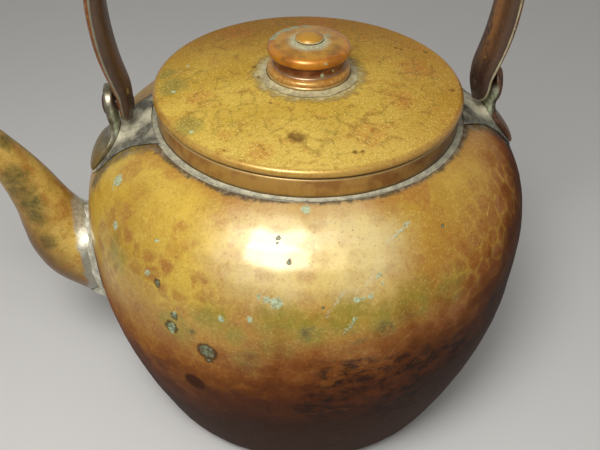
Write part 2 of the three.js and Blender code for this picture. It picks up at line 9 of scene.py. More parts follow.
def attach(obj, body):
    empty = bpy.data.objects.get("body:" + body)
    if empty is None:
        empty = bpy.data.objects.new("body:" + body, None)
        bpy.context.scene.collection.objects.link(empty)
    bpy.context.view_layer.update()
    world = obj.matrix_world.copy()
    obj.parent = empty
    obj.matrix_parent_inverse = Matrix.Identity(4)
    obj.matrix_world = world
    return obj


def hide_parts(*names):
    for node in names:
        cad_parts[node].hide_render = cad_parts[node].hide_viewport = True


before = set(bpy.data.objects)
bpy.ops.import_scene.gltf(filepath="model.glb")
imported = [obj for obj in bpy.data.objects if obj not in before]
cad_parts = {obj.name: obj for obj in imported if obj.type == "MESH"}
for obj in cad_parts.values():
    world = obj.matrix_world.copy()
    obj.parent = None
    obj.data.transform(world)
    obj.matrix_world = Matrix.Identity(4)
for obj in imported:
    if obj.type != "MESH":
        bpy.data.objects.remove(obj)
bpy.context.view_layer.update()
print("frame loaded:", len(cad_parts), "pieces")

metre = 1000.0  # millimetres in a metre

# The view: camera place and directions in the kettle's own frame
camera = {
    "place": (-34.0, -214.4, 255.6),
    "ahead": (0.1119, 0.747, -0.6553),
    "rightward": (0.9908, -0.1346, 0.0157),
    "lens": 40.8,
    "sensor": 36.0,
}


def turnedTo(ahead, rightward):
    back = -Vector(ahead).normalized()
    right = Vector(rightward).normalized()
    up = back.cross(right).normalized()
    right = up.cross(back)
    return Matrix((right, up, back)).transposed().to_4x4()


def placeCamera():
    lens = bpy.data.cameras.new("kettleView")
    lens.lens = camera["lens"]
    lens.sensor_width = camera["sensor"]
    lens.clip_start = 0.01
    view = bpy.data.objects.new("kettleView", lens)
    view.matrix_world = turnedTo(camera["ahead"], camera["rightward"])
    view.location = Vector(camera["place"]) / metre
    bpy.context.scene.collection.objects.link(view)
    bpy.context.scene.camera = view


placeCamera()
print("camera placed")


# Shader maths: a tap is one socket of a node tree, and sums of taps add the nodes they need
def linear(code):
    parts = [int(code[i:i + 2], 16) / 255 for i in (1, 3, 5)]
    return tuple(p / 12.92 if p <= 0.04045 else ((p + 0.055) / 1.055) ** 2.4 for p in parts)


class Tap:
    def __init__(self, tree, socket):
        self.tree = tree
        self.socket = socket

    def maths(self, operation, *values):
        return self.tree.add("ShaderNodeMath", {"operation": operation}, dict(enumerate(values)))

    def __add__(self, other):
        return self.maths("ADD", self, other)

    def __radd__(self, other):
        return self.maths("ADD", other, self)

    def __sub__(self, other):
        return self.maths("SUBTRACT", self, other)

    def __rsub__(self, other):
        return self.maths("SUBTRACT", other, self)

    def __mul__(self, other):
        return self.maths("MULTIPLY", self, other)

    def __rmul__(self, other):
        return self.maths("MULTIPLY", other, self)

    def __truediv__(self, other):
        return self.maths("DIVIDE", self, other)

    def __rtruediv__(self, other):
        return self.maths("DIVIDE", other, self)

    def least(self, other):
        return self.maths("MINIMUM", self, other)

    def most(self, other):
        return self.maths("MAXIMUM", self, other)

    def size(self):
        return self.maths("ABSOLUTE", self)

    def rise(self, low, high, below=0.0, above=1.0):  # smooth between low and high
        ends = {"Value": self, "From Min": low, "From Max": high, "To Min": below, "To Max": above}
        return self.tree.add("ShaderNodeMapRange", {"interpolation_type": "SMOOTHSTEP"}, ends, "Result")

    def fall(self, low, high):  # 1 below low, 0 above high
        return self.rise(low, high, 1.0, 0.0)

    def moved(self, operation, *values, out="Vector"):  # vector sums
        inputs = dict(enumerate((self, *values)))
        return self.tree.add("ShaderNodeVectorMath", {"operation": operation}, inputs, out)

    def scaled(self, factor):
        inputs = {"Vector": self, "Scale": factor}
        return self.tree.add("ShaderNodeVectorMath", {"operation": "SCALE"}, inputs, "Vector")

    def parts(self, axes):  # of a vector, such as "XZ"
        return [self.tree.add("ShaderNodeSeparateXYZ", {}, {"Vector": self}, axis) for axis in axes]


class Tree:
    def __init__(self, owner):
        owner.use_nodes = True
        self.nodes = owner.node_tree.nodes
        self.links = owner.node_tree.links

    def first(self, kind):
        return next(n for n in self.nodes if n.type == kind)

    def join(self, socket, value):  # value is a tap, a code for a colour, or what the socket takes
        if isinstance(value, Tap):
            self.links.new(value.socket, socket)
        elif isinstance(value, str):
            socket.default_value = (*linear(value), 1.0)
        else:
            socket.default_value = value

    def add(self, kind, settings, inputs, out=0):
        node = self.nodes.new(kind)
        for name, value in settings.items():
            setattr(node, name, value)
        for name, value in inputs.items():
            self.join(node.inputs[name], value)
        return Tap(self, node.outputs[out])


class Finish(Tree):
    def __init__(self, name, **sockets):
        self.material = bpy.data.materials.new(name)
        super().__init__(self.material)
        self.color = None
        self.feed(**sockets)

    def feed(self, **sockets):
        shader = self.first("BSDF_PRINCIPLED")
        for name, value in sockets.items():
            words = "".join(" " + c if c.isupper() else c for c in name).title().replace("Ior", "IOR")
            self.join(shader.inputs[words], value)

    def done(self, height, **sockets):
        # feeds the colour laid so far, a bump of this height in millimetres, and other sockets
        bump = self.add("ShaderNodeBump", {}, {"Height": height, "Distance": 1 / metre}, "Normal")
        self.feed(baseColor=self.color, normal=bump, **sockets)
        return self

    def blend(self, mask, under, over):
        return self.add("ShaderNodeMix", {"data_type": "RGBA"}, {0: mask, 6: under, 7: over}, 2)

    def lay(self, mask, tone):  # a tone over the colour so far
        self.color = self.blend(mask, self.color, tone)

    def place(self):  # where the surface is, in millimetres of the kettle's frame
        return self.add("ShaderNodeTexCoord", {}, {}, "Object").scaled(metre)

    def cloud(self, place, size, detail=3.0, rough=0.55, out="Fac"):
        inputs = {"Vector": place, "Scale": 1 / size, "Detail": detail, "Roughness": rough}
        return self.add("ShaderNodeTexNoise", {}, inputs, out)

    def clouds(self, place, *sizes):  # each with its detail, and its roughness if that isn't the usual one
        return [self.cloud(place, *row) for row in sizes]

    def cells(self, place, size):  # distance to the nearest of many loose points
        return self.add("ShaderNodeTexVoronoi", {}, {"Vector": place, "Scale": 1 / size}, "Distance")

    def ragged(self, place, size, reach):  # the place shaken by a cloud, for uneven edges
        shake = self.cloud(place, size, out="Color").moved("SUBTRACT", (0.5, 0.5, 0.5))
        return place.moved("ADD", shake.scaled(2 * reach))

    def near(self, place, marks):  # distance to the nearest mark, in radii of that mark
        return reduce(Tap.least, [place.moved("DISTANCE", (x, y, z), out="Value") / radius
                                  for x, y, z, radius in marks])

    def stroke(self, place, start, end):  # distance to the straight line between two points
        run = Vector(end) - Vector(start)
        off = place.moved("SUBTRACT", start)
        share = off.moved("DOT_PRODUCT", tuple(run / run.length_squared), out="Value").most(0.0).least(1.0)
        inputs = {"Vector": tuple(run), "Scale": share}
        spot = self.add("ShaderNodeVectorMath", {"operation": "SCALE"}, inputs, "Vector")
        return off.moved("DISTANCE", spot, out="Value")

    def strokes(self, place, lines):  # the same for several, in widths of each
        return reduce(Tap.least, [self.stroke(place, start, end) / width for start, end, width in lines])

    def attribute(self, name):
        return self.add("ShaderNodeAttribute", {"attribute_name": name}, {}, "Fac")


# Meshes
yAxis = np.array([0, 1.0, 0])


def wholeTurn(steps):  # even angles round a circle
    return np.arange(steps) * 2 * math.pi / steps


def circle(steps):  # the points of a unit circle at these angles
    angles = wholeTurn(steps)
    return np.stack([np.cos(angles), np.sin(angles)], 1)


def runOf(points):  # length along a line, at each of its points
    return np.concatenate([[0], np.cumsum(np.linalg.norm(np.diff(points, axis=0), axis=1))])


def unit(rows):  # vectors made 1 long
    return rows / np.linalg.norm(rows, axis=-1, keepdims=True)


def skin(rings, loop=False, poles=(False, False)):
    # quads over rings of points; a pole closes an end in a single point
    rings = np.asarray(rings, float)
    rows, count = rings.shape[:2]
    points = rings.reshape(-1, 3)
    here = np.arange(count)
    after = (here + 1) % count
    quads = []
    for row in range(rows if loop else rows - 1):
        a, b = row * count, ((row + 1) % rows) * count
        quads.append(np.stack([a + here, a + after, b + after, b + here], 1))
    faces = np.concatenate(quads).tolist()
    for end, wanted in zip((0, rows - 1), poles):
        if not wanted:
            continue
        tip = len(points)
        points = np.vstack([points, rings[end].mean(0)])
        first = end * count
        for j in range(count):
            pair = (first + (j + 1) % count, first + j)
            faces.append([*(pair if end == 0 else pair[::-1]), tip])
    return points, faces


def closedStrip(rings):
    # a skin over rings of an outer and an inner line, closed at both ends by quads between the lines
    points, faces = skin(rings)
    count = len(rings[0])
    last = (len(rings) - 1) * count
    for j in range(count // 2 - 1):
        k = count - 1 - j
        faces.append([j + 1, j, k, k - 1])
        faces.append([last + j, last + j + 1, last + k - 1, last + k])
    return points, faces


def madePiece(name, points, faces, finish, sharp=35.0):
    mesh = bpy.data.meshes.new(name)
    mesh.from_pydata((np.asarray(points) / metre).tolist(), [], faces)
    mesh.validate()
    mesh.polygons.foreach_set("use_smooth", [True] * len(mesh.polygons))
    mesh.set_sharp_from_angle(angle=math.radians(sharp))
    mesh.materials.append(finish.material)
    piece = bpy.data.objects.new(name, mesh)
    bpy.context.scene.collection.objects.link(piece)
    outward(piece)
    return piece


def madeSkin(name, rings, finish, sharp=35.0, **ends):
    return madePiece(name, *skin(rings, **ends), finish, sharp)


def outward(piece):
    # faces point out of a closed mesh
    mesh = piece.data
    mesh.calc_loop_triangles()
    spots = np.empty(len(mesh.vertices) * 3)
    mesh.vertices.foreach_get("co", spots)
    spots = spots.reshape(-1, 3)
    corners = np.empty(len(mesh.loop_triangles) * 3, int)
    mesh.loop_triangles.foreach_get("vertices", corners)
    a, b, c = (spots[corners.reshape(-1, 3)[:, i]] for i in range(3))
    if np.einsum("ij,ij->i", a, np.cross(b, c)).sum() < 0:
        mesh.flip_normals()


def dress(piece, body, slot, *nodes):
    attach(piece, body)
    if nodes:
        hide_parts(*nodes)


def turned(profile, steps):
    # rings of a profile of (radius, height) turned about the kettle's axis
    profile = np.asarray(profile, float)
    flat = profile[:, None, :1] * circle(steps)[None]
    height = np.repeat(profile[:, 1:2], steps, 1)[..., None]
    return np.concatenate([flat, height], 2)


def arc(centre, radius, start, end, steps):
    # (radius, height) points of an arc; angles in degrees
    turns = np.radians(np.linspace(start, end, steps + 1))
    return [(centre[0] + radius * math.cos(t), centre[1] + radius * math.sin(t)) for t in turns]


def spread(points, step):
    # the same line with points an even step apart
    points = np.asarray(points, float)
    run = runOf(points)
    at = np.linspace(0, run[-1], max(int(round(run[-1] / step)), 2) + 1)
    return np.stack([np.interp(at, run, points[:, k]) for k in range(points.shape[1])], 1)


def easy(t):
    t = np.clip(t, 0, 1)
    return t * t * (3 - 2 * t)


def applied(piece):
    # keeps what the modifiers make of a piece
    ready = piece.evaluated_get(bpy.context.evaluated_depsgraph_get())
    made = bpy.data.meshes.new_from_object(ready)
    piece.modifiers.clear()
    old, piece.data = piece.data, made
    bpy.data.meshes.remove(old)


def carve(piece, tool):
    # cuts a tool out of a piece for good
    cutter = piece.modifiers.new("carve", "BOOLEAN")
    cutter.operation = "DIFFERENCE"
    cutter.solver = "MANIFOLD"
    cutter.object = tool
    applied(piece)
    bpy.data.objects.remove(tool)


def bar(radius, start, end, steps):
    # a round cutter between two points
    start, end = Vector(start), Vector(end)
    turn = (end - start).to_track_quat("Z", "Y").to_matrix()
    rim = [turn @ Vector((radius * x, radius * y, 0)) for x, y in circle(steps)]
    rings = [[centre + spot for spot in rim] for centre in (start, end)]
    return madeSkin("cutter", rings, plain, poles=(True, True))


def catmull(rows, count):
    # smooth centripetal line through rows of values, evenly sampled from knot to knot
    rows = np.asarray(rows, float)
    ends = np.vstack([2 * rows[0] - rows[1], rows, 2 * rows[-1] - rows[-2]])
    out = []
    for i in range(len(rows) - 1):
        p = ends[i:i + 4]
        gaps = np.maximum(np.linalg.norm(np.diff(p[:, :3], axis=0), axis=1) ** 0.5, 1e-6)
        t0, t1, t2, t3 = np.concatenate([[0], np.cumsum(gaps)])
        for t in np.linspace(t1, t2, count, endpoint=i == len(rows) - 2):
            a = (t1 - t) / (t1 - t0) * p[0] + (t - t0) / (t1 - t0) * p[1]
            b = (t2 - t) / (t2 - t1) * p[1] + (t - t1) / (t2 - t1) * p[2]
            c = (t3 - t) / (t3 - t2) * p[2] + (t - t2) / (t3 - t2) * p[3]
            d = (t2 - t) / (t2 - t0) * a + (t - t0) / (t2 - t0) * b
            e = (t3 - t) / (t3 - t1) * b + (t - t1) / (t3 - t1) * c
            out.append((t2 - t) / (t2 - t1) * d + (t - t1) / (t2 - t1) * e)
    return np.array(out)


plain = Finish("cutterGrey")


# Planishing: small flats left by the hammer, laid in courses round the kettle
flatReach = {
    "courses": 1.7,  # how far from a point a flat can still shape it
    "widths": 1.8,
    "lift": 0.25,  # the most, before the depth is applied
}


def hammered(profile, normals, steps, flat, keep):
    # profile rows of (radius, height); keep says from which to which arc length the flats go;
    # gives how far each point moves out, how near it is to the edge of its flat, and that flat's tone
    rows = len(profile)
    run = runOf(profile)
    angles = wholeTurn(steps)
    noise = np.random.default_rng(flat["seed"])
    courses = []
    for at in np.arange(keep[0], keep[1], flat["course"]):
        spot = [np.interp(at, run, profile[:, k]) for k in (0, 1)]
        facing = [np.interp(at, run, normals[:, k]) for k in (0, 1)]
        count = max(int(round(2 * math.pi * spot[0] / flat["width"])), 3)
        loose = flat["loose"]
        places = np.arange(count) + noise.uniform(0, 1) + noise.uniform(-loose, loose, count)
        turns = places * 2 * math.pi / count
        slip = noise.uniform(-loose, loose, count) * flat["course"]
        radius = spot[0] - facing[1] * slip
        height = spot[1] + facing[0] * slip
        ahead, aside = np.cos(turns), np.sin(turns)
        centres = np.stack([radius * ahead, radius * aside, height], 1)
        face = np.stack([facing[0] * ahead, facing[0] * aside, np.full(count, facing[1])], 1)
        face = unit(face + noise.normal(0, flat["tilt"], face.shape))
        courses.append((at, centres, face, turns[0], noise.uniform(0, 1, count)))
    lift = np.zeros((rows, steps))
    edge = np.zeros((rows, steps))
    tone = np.full((rows, steps), 0.5)
    ring = circle(steps)
    for i, (radius, height) in enumerate(profile):
        point = np.column_stack([radius * ring, np.full(steps, height)])
        facing = np.column_stack([normals[i, 0] * ring, np.full(steps, normals[i, 1])])
        soft = np.zeros(steps)
        first = np.full(steps, 1e9)
        second = np.full(steps, 1e9)
        shade = np.full(steps, 0.5)
        found = False
        for at, centres, face, start, shades in courses:
            if abs(at - run[i]) > flatReach["courses"] * flat["course"]:
                continue
            found = True
            count = len(centres)
            column = np.floor((angles - start) / (2 * math.pi / count)).astype(int)
            for shift in (-1, 0, 1, 2):
                pick = (column + shift) % count
                gap = centres[pick] - point
                away = np.linalg.norm(gap, axis=1)
                plane = (gap * face[pick]).sum(1) / (facing * face[pick]).sum(1)
                plane = np.where(away < flatReach["widths"] * flat["width"], plane, 1e3)
                soft += np.exp(-np.clip(plane / flat["softness"], -60, 60))
                closer = away < first
                second = np.where(closer, first, np.minimum(second, away))
                shade = np.where(closer, shades[pick], shade)
                first = np.where(closer, away, first)
        if found:
            lift[i] = -flat["softness"] * np.log(np.maximum(soft, 1e-30))
            edge[i] = 1 - np.clip((second - first) / flat["width"], 0, 1)
            tone[i] = shade
    fade = easy((run - keep[0]) / flat["course"]) * easy((keep[1] - run) / flat["course"])
    lift = np.clip(lift, -flatReach["lift"], flatReach["lift"]) * fade[:, None] * flat["depth"]
    return lift, edge * fade[:, None], tone


def lineNormals(profile):
    # normals of a line of (radius, height) points that runs up the outside
    slope = np.gradient(profile, axis=0)
    return unit(np.stack([slope[:, 1], -slope[:, 0]], 1))


def note(piece, name, values):
    # one number for each vertex, for the finish to read
    store = piece.data.attributes.new(name, "FLOAT", "POINT")
    full = np.zeros(len(piece.data.vertices))
    full[:len(values)] = values
    store.data.foreach_set("value", full)


# Body
body = {
    "height": 125.0,
    "belly": (84.9, 66.0),
    "foot": 69.5,
    "heel": 12.0,
    "wall": 1.5,
    "rim": 54.6,
    "mouth": 52.7,
    "shoulder": (1.2, 4.0),
    "bend": 1.6,
    "pour": (12.0, 62.0),
    "centreHole": 0.4,
    "step": 1.05,
    "steps": 512,
}
bodyFlats = {
    "from": 64,
    "margin": 3,
    "course": 5.9,
    "width": 6.5,
    "tilt": 0.009,
    "softness": 0.014,
    "depth": 1.2,
    "loose": 0.42,
    "seed": 4,
}


def flankRadius(height):
    wide, level = body["belly"]
    return wide - (wide - body["foot"]) * ((level - height) / level) ** body["bend"]


def shoulderRadius(height):
    wide, level = body["belly"]
    up = np.clip((height - level) / (body["height"] - level), 0, 1)
    across, over = body["shoulder"]
    return body["rim"] + (wide - body["rim"]) * (1 - up ** over) ** (1 / across)


def shoulderHeight(radius):
    wide, level = body["belly"]
    out = np.clip((radius - body["rim"]) / (wide - body["rim"]), 0, 1)
    across, over = body["shoulder"]
    return level + (body["height"] - level) * (1 - out ** across) ** (1 / over)


def skinRadius(height):  # of the body's outside
    return shoulderRadius(height) if height >= body["belly"][1] else flankRadius(max(height, 0))


def bodyLine():
    # outside of the body from the middle of the base to the rim
    wide, level = body["belly"]
    slope = math.atan((wide - body["foot"]) * body["bend"] / level)
    heelTop = body["heel"] * (1 - math.sin(slope))
    centre = flankRadius(heelTop) - body["heel"] * math.cos(slope)
    line = [(0, 0), *arc((centre, body["heel"]), body["heel"], -90, -math.degrees(slope), 16)]
    line += [(flankRadius(h), h) for h in np.linspace(heelTop, level, 60)[1:]]
    across, over = body["shoulder"]
    for i in range(1, 241):
        turn = math.pi / 2 * (1 - (i / 240) ** 2)
        line.append((body["rim"] + (wide - body["rim"]) * math.sin(turn) ** (2 / across),
                     level + (body["height"] - level) * max(math.cos(turn), 0) ** (2 / over)))
    return spread(line, body["step"])


def makeBody(finish):
    line = bodyLine()
    line[0, 0] = body["centreHole"]
    facing = lineNormals(line)
    keep = (bodyFlats["from"], runOf(line)[-1] - bodyFlats["margin"])
    lift, edge, tone = hammered(line, facing, body["steps"], bodyFlats, keep)
    outside = turned(line, body["steps"])
    outside[..., :2] += (lift * facing[:, :1])[..., None] * circle(body["steps"])
    outside[..., 2] += lift * facing[:, 1:2]
    inside = spread(line - body["wall"] * facing, 7)
    inside = [p for p in inside[::-1] if p[1] < body["height"] - body["wall"] - 0.4]
    top = [(body["mouth"], body["height"]), (body["mouth"], body["height"] - body["wall"])]
    under = turned([*top, *inside], body["steps"])
    shell = madeSkin("bodyShell", np.concatenate([outside, under]), finish, poles=(True, True))
    note(shell, "flatEdge", edge.ravel())
    note(shell, "flatTone", tone.ravel())
    radius, height = body["pour"]
    # the pour hole, cut from outside the belly to inside the mouth
    carve(shell, bar(radius, (-body["belly"][0] - 6, 0, height), (-body["mouth"] - 8, 0, height), 64))
    dress(shell, "kettle", "body_copper", "body_shell")


# Spout
spout = {
    "root": (-79.0, 60.0),
    "reach": 50.2,
    "rise": 76.0,
    "radius": 17.2,
    "wall": 1.3,
    "line": [(0, 0, 1), (0.129, 0.064, 1), (0.273, 0.138, 0.95), (0.356, 0.21, 0.83), (0.414, 0.304, 0.692),
             (0.461, 0.41, 0.575), (0.513, 0.513, 0.506), (0.58, 0.617, 0.437), (0.685, 0.742, 0.366),
             (0.828, 0.872, 0.347), (1, 1, 0.345)],
    "sides": 72,
    "rows": 12,
    "gap": 0.3,
}


def spoutRows():
    x, z = spout["root"]
    rows = [(x - spout["reach"] * out, 0, z + spout["rise"] * up, spout["radius"] * share)
            for out, up, share in spout["line"]]
    return catmull(rows, spout["rows"])


def upOf(rows):  # at right angles to the spout's line, in the plane of the kettle's middle
    return np.cross(unit(np.gradient(rows[:, :3], axis=0)), yAxis)


def spoutRings(grow):
    rows = spoutRows()
    up, aside = circle(spout["sides"]).T[:, None, :, None]
    radius = (rows[:, 3] + grow)[:, None, None]
    ring = up * upOf(rows)[:, None] + aside * yAxis
    return rows[:, None, :3] + radius * ring


def bodyCutter(grow):
    line = bodyLine()[::4]
    facing = lineNormals(line)
    line = line + grow * facing
    rings = turned([(0.5, -grow), *line[1:], (0.5, body["height"] + grow)], 256)
    return madeSkin("cutter", rings, plain, poles=(True, True))


def makeSpout(finish):
    outer = spoutRings(0)
    inner = spoutRings(-spout["wall"])[::-1]
    # a softly rounded lip at the tip
    middle = (outer[-1] + inner[0]) / 2
    quarter = spout["sides"] // 4
    over = unit(np.cross(outer[-1, 1] - outer[-1, 0], outer[-1, quarter] - outer[-1, 0]))
    over = over * np.sign(over[2])
    lip = []
    for t in np.linspace(0, math.pi, 9)[1:-1]:
        lip.append(middle + (outer[-1] - middle) * math.cos(t) + over * spout["wall"] / 2 * math.sin(t))
    piece = madeSkin("spoutTube", np.concatenate([outer, lip, inner]), finish, loop=True)
    carve(piece, bodyCutter(spout["gap"]))
    dress(piece, "kettle", "body_copper", "spout")


spoutSolder = {
    "onBody": 3.2,
    "onSpout": 3.4,
    "thick": 0.95,
    "gap": 0.16,
    "sides": 144,
    "samples": 900,
    "lumps": {"onSpout": 0.28, "onBody": 0.3, "thick": 0.25},
    "seed": 8,
    "levels": 2,
}


def softLumps():
    # three rows of noise round the solder, smoothed past each other's ends
    sides = spoutSolder["sides"]
    lumps = np.random.default_rng(spoutSolder["seed"]).normal(0, 1, (3, sides))
    kernel = np.exp(-np.linspace(-2, 2, 9) ** 2)
    kernel /= kernel.sum()
    return [np.convolve(np.tile(row, 3), kernel, "same")[sides:2 * sides] for row in lumps]


def offBody(point):  # straight out from the kettle's axis
    return np.array([point[0], point[1], 0]) / math.hypot(point[0], point[1])


def makeSpoutSolder(finish):
    # a lumpy fillet round the foot of the spout, wider and thinner from place to place
    rows = spoutRows()
    at = np.linspace(0, len(rows) - 1, spoutSolder["samples"])
    fine = np.stack([np.interp(at, np.arange(len(rows)), rows[:, k]) for k in range(4)], 1)
    up = upOf(fine)
    gap = spoutSolder["gap"]
    shares = spoutSolder["lumps"]
    rings = []
    for (above, aside), onSpout, onBody, thick in zip(circle(spoutSolder["sides"]), *softLumps()):
        facing = above * up + aside * yAxis
        track = fine[:, :3] + (fine[:, 3:4] + gap) * facing
        reach = np.hypot(track[:, 0], track[:, 1]) - np.array([skinRadius(h) for h in track[:, 2]])
        clear = np.argmax(reach > gap + 0.05)
        foot, footFacing = track[clear], facing[clear]
        top = spoutSolder["onSpout"] * (1 + shares["onSpout"] * onSpout)
        top = clear + np.searchsorted(runOf(track[clear:clear + 160]), top)
        high, highFacing = track[top], facing[top]
        # straight out over the body's skin, away from the spout
        slope = skinRadius(foot[2] + 0.5) - skinRadius(foot[2] - 0.5)
        bodyFacing = unit(offBody(foot) - np.array([0, 0, slope]))
        away = unit(footFacing - bodyFacing * footFacing.dot(bodyFacing))
        far = foot + away * spoutSolder["onBody"] * (1 + shares["onBody"] * onBody)
        far = far - offBody(far) * (math.hypot(far[0], far[1]) - skinRadius(far[2]) - gap)
        thick = spoutSolder["thick"] * (1 + shares["thick"] * thick)
        corner = foot + 0.1 * (footFacing + bodyFacing)
        crown = (high + far) / 2 * 0.45 + corner * 0.55 + thick * 0.55 * (footFacing + bodyFacing)
        lowSpout = (high + corner) / 2 + highFacing * thick * 0.75
        lowBody = (far + corner) / 2 + bodyFacing * thick * 0.75
        rings.append([corner, high, high + highFacing * 0.25, lowSpout, crown,
                      lowBody, far + bodyFacing * 0.2, far])
    piece = madeSkin("spoutSolderBand", rings, finish, 80, loop=True)
    rounding = piece.modifiers.new("round", "SUBSURF")
    rounding.levels = spoutSolder["levels"]
    applied(piece)
    piece.data.polygons.foreach_set("use_smooth", [True] * len(piece.data.polygons))
    dress(piece, "kettle", "solder", "spout_solder")


# Collar and its solder
collar = {"outer": 54.3, "wall": 1.6, "foot": 125.0, "top": 132.2, "steps": 360}
neckSolder = {
    "start": 54.5,
    "width": 1.5,
    "height": 0.4,
    "gap": 0.12,
    "edge": 0.12,
    "falls": [(0, 1), (0.13, 0.8), (0.33, 0.5), (0.6, 0.28), (0.85, 0.16)],
    "widthWave": (21, (7, 13, 29, 47, 71)),  # a seed, and the waves round the kettle
    "heightWave": (22, (5, 11, 23, 41, 67, 97)),
    "steps": 420,
}


def swapped(rings):
    # rings of rows turned into rings round each section, so that a closed section loops
    return np.swapaxes(rings, 0, 1)


def ringPiece(name, section, steps, finish):
    return madeSkin(name, swapped(turned(section, steps)), finish, loop=True)


def makeCollar(finish):
    inner = collar["outer"] - collar["wall"]
    bead = collar["wall"] / 2
    line = [(inner, collar["foot"]), (collar["outer"], collar["foot"])]
    line += [(collar["outer"], h) for h in np.linspace(collar["foot"], collar["top"] - bead, 8)[1:-1]]
    line += arc((inner + bead, collar["top"] - bead), bead, 0, 180, 12)
    dress(ringPiece("neckCollar", line, collar["steps"], finish), "kettle", "dark_copper", "neck_collar")


def wave(steps, seed, spans):
    # an uneven closed wave of about unit height
    noise = np.random.default_rng(seed)
    turns = wholeTurn(steps)
    total = np.zeros(steps)
    for span in spans:
        total += noise.normal(0, 1) * np.sin(span * turns + noise.uniform(0, 6.28)) / math.sqrt(len(spans))
    return total


def filletRings(level, start, widths, heights, shape, backs):
    # sections of an uneven fillet round the axis; level gives the height of what it lies on
    rings = []
    for (x, y), wide, tall in zip(circle(len(widths)), widths, heights):
        section = [(start, level(start))]
        for share, rise in shape["falls"]:
            radius = start + wide * share
            section.append((radius, level(radius) + tall * rise))
        section.append((start + wide, level(start + wide) + shape["edge"]))
        section += [(start + wide * share, level(start + wide * share)) for share in backs]
        rings.append([(radius * x, radius * y, height) for radius, height in section])
    return rings


def makeNeckSolder(finish):
    steps = neckSolder["steps"]
    wider = 0.65 + 0.4 * np.abs(circle(steps)[:, 0])  # towards the spout and away from it
    widths = neckSolder["width"] * (wider + 0.12 * wave(steps, *neckSolder["widthWave"]))
    heights = neckSolder["height"] * (1 + 0.14 * wave(steps, *neckSolder["heightWave"]))
    rings = filletRings(lambda radius: shoulderHeight(radius) + neckSolder["gap"], neckSolder["start"],
                        widths, heights, neckSolder, (1, 0.5))
    piece = madeSkin("neckSolderRing", rings, finish, 70, loop=True)
    dress(piece, "kettle", "solder", "neck_solder")


# Lid
lid = {
    "radius": 55.0,
    "edge": 1.6,
    "rise": 3.15,
    "wall": 1.4,
    "seat": 3.2,
    "step": 0.8,
    "under": 132.5,
    "bore": 2.5,
    "steps": 384,
}
lidFlats = {
    "from": 16,
    "margin": 3,
    "course": 6.2,
    "width": 6.8,
    "tilt": 0.005,
    "softness": 0.014,
    "depth": 1.0,
    "loose": 0.42,
    "seed": 9,
}


def lidTop(radius):
    reach = lid["radius"] - lid["edge"]
    return lid["under"] + 2 * lid["edge"] + lid["rise"] * (1 - (radius / reach) ** 2)


def makeLid(finish):
    reach = lid["radius"] - lid["edge"]
    top = np.array([(r, lidTop(r)) for r in np.linspace(lid["bore"], reach, 52)])
    facing = lineNormals(top[::-1])[::-1]
    facing *= np.sign(facing[:, 1:2])
    keep = (lidFlats["from"], reach - lidFlats["margin"])
    lift, edge, tone = hammered(top, facing, lid["steps"], lidFlats, keep)
    outside = turned(top, lid["steps"])
    outside[..., 2] += lift
    rim = arc((reach, lid["under"] + lid["edge"]), lid["edge"], 90, -90, 14)[1:]
    inner = reach - lid["seat"]
    below = [(inner, lid["under"])]
    below += [(r, lidTop(r) - lid["wall"]) for r in np.linspace(inner - lid["step"], lid["bore"], 14)]
    rest = turned([*rim, *below], lid["steps"])
    piece = madeSkin("lidPlate", swapped(np.concatenate([outside, rest])), finish, loop=True)
    order = swapped(np.concatenate([edge, np.zeros(rest.shape[:2])]))
    shades = swapped(np.concatenate([tone, np.full(rest.shape[:2], 0.5)]))
    note(piece, "flatEdge", order.ravel())
    note(piece, "flatTone", shades.ravel())
    dress(piece, "lid", "lid_copper", "lid_plate")


# Knob: base ring, neck, cap, rivet and the solder round its foot
knob = {
    "seat": 139.15,
    "base": (14.7, 3.4, 1.4),
    "neck": (12.8, 1.6, 3.9),
    "cap": (14.5, 4.0, 1.1),
    "bore": 2.5,
    "rivet": (2.2, 5.0, 1.9),
    "tail": (3.6, 1.2),
    "gap": 0.3,
    "steps": 192,
}
knobSolder = {
    "width": 2.3,
    "height": 1.1,
    "edge": 0.1,
    "falls": [(0, 1), (0.2, 0.72), (0.45, 0.45), (0.75, 0.25)],
    "widthWave": (31, (3, 5, 9, 14)),
    "heightWave": (32, (3, 5, 8, 13)),
    "steps": 216,
}


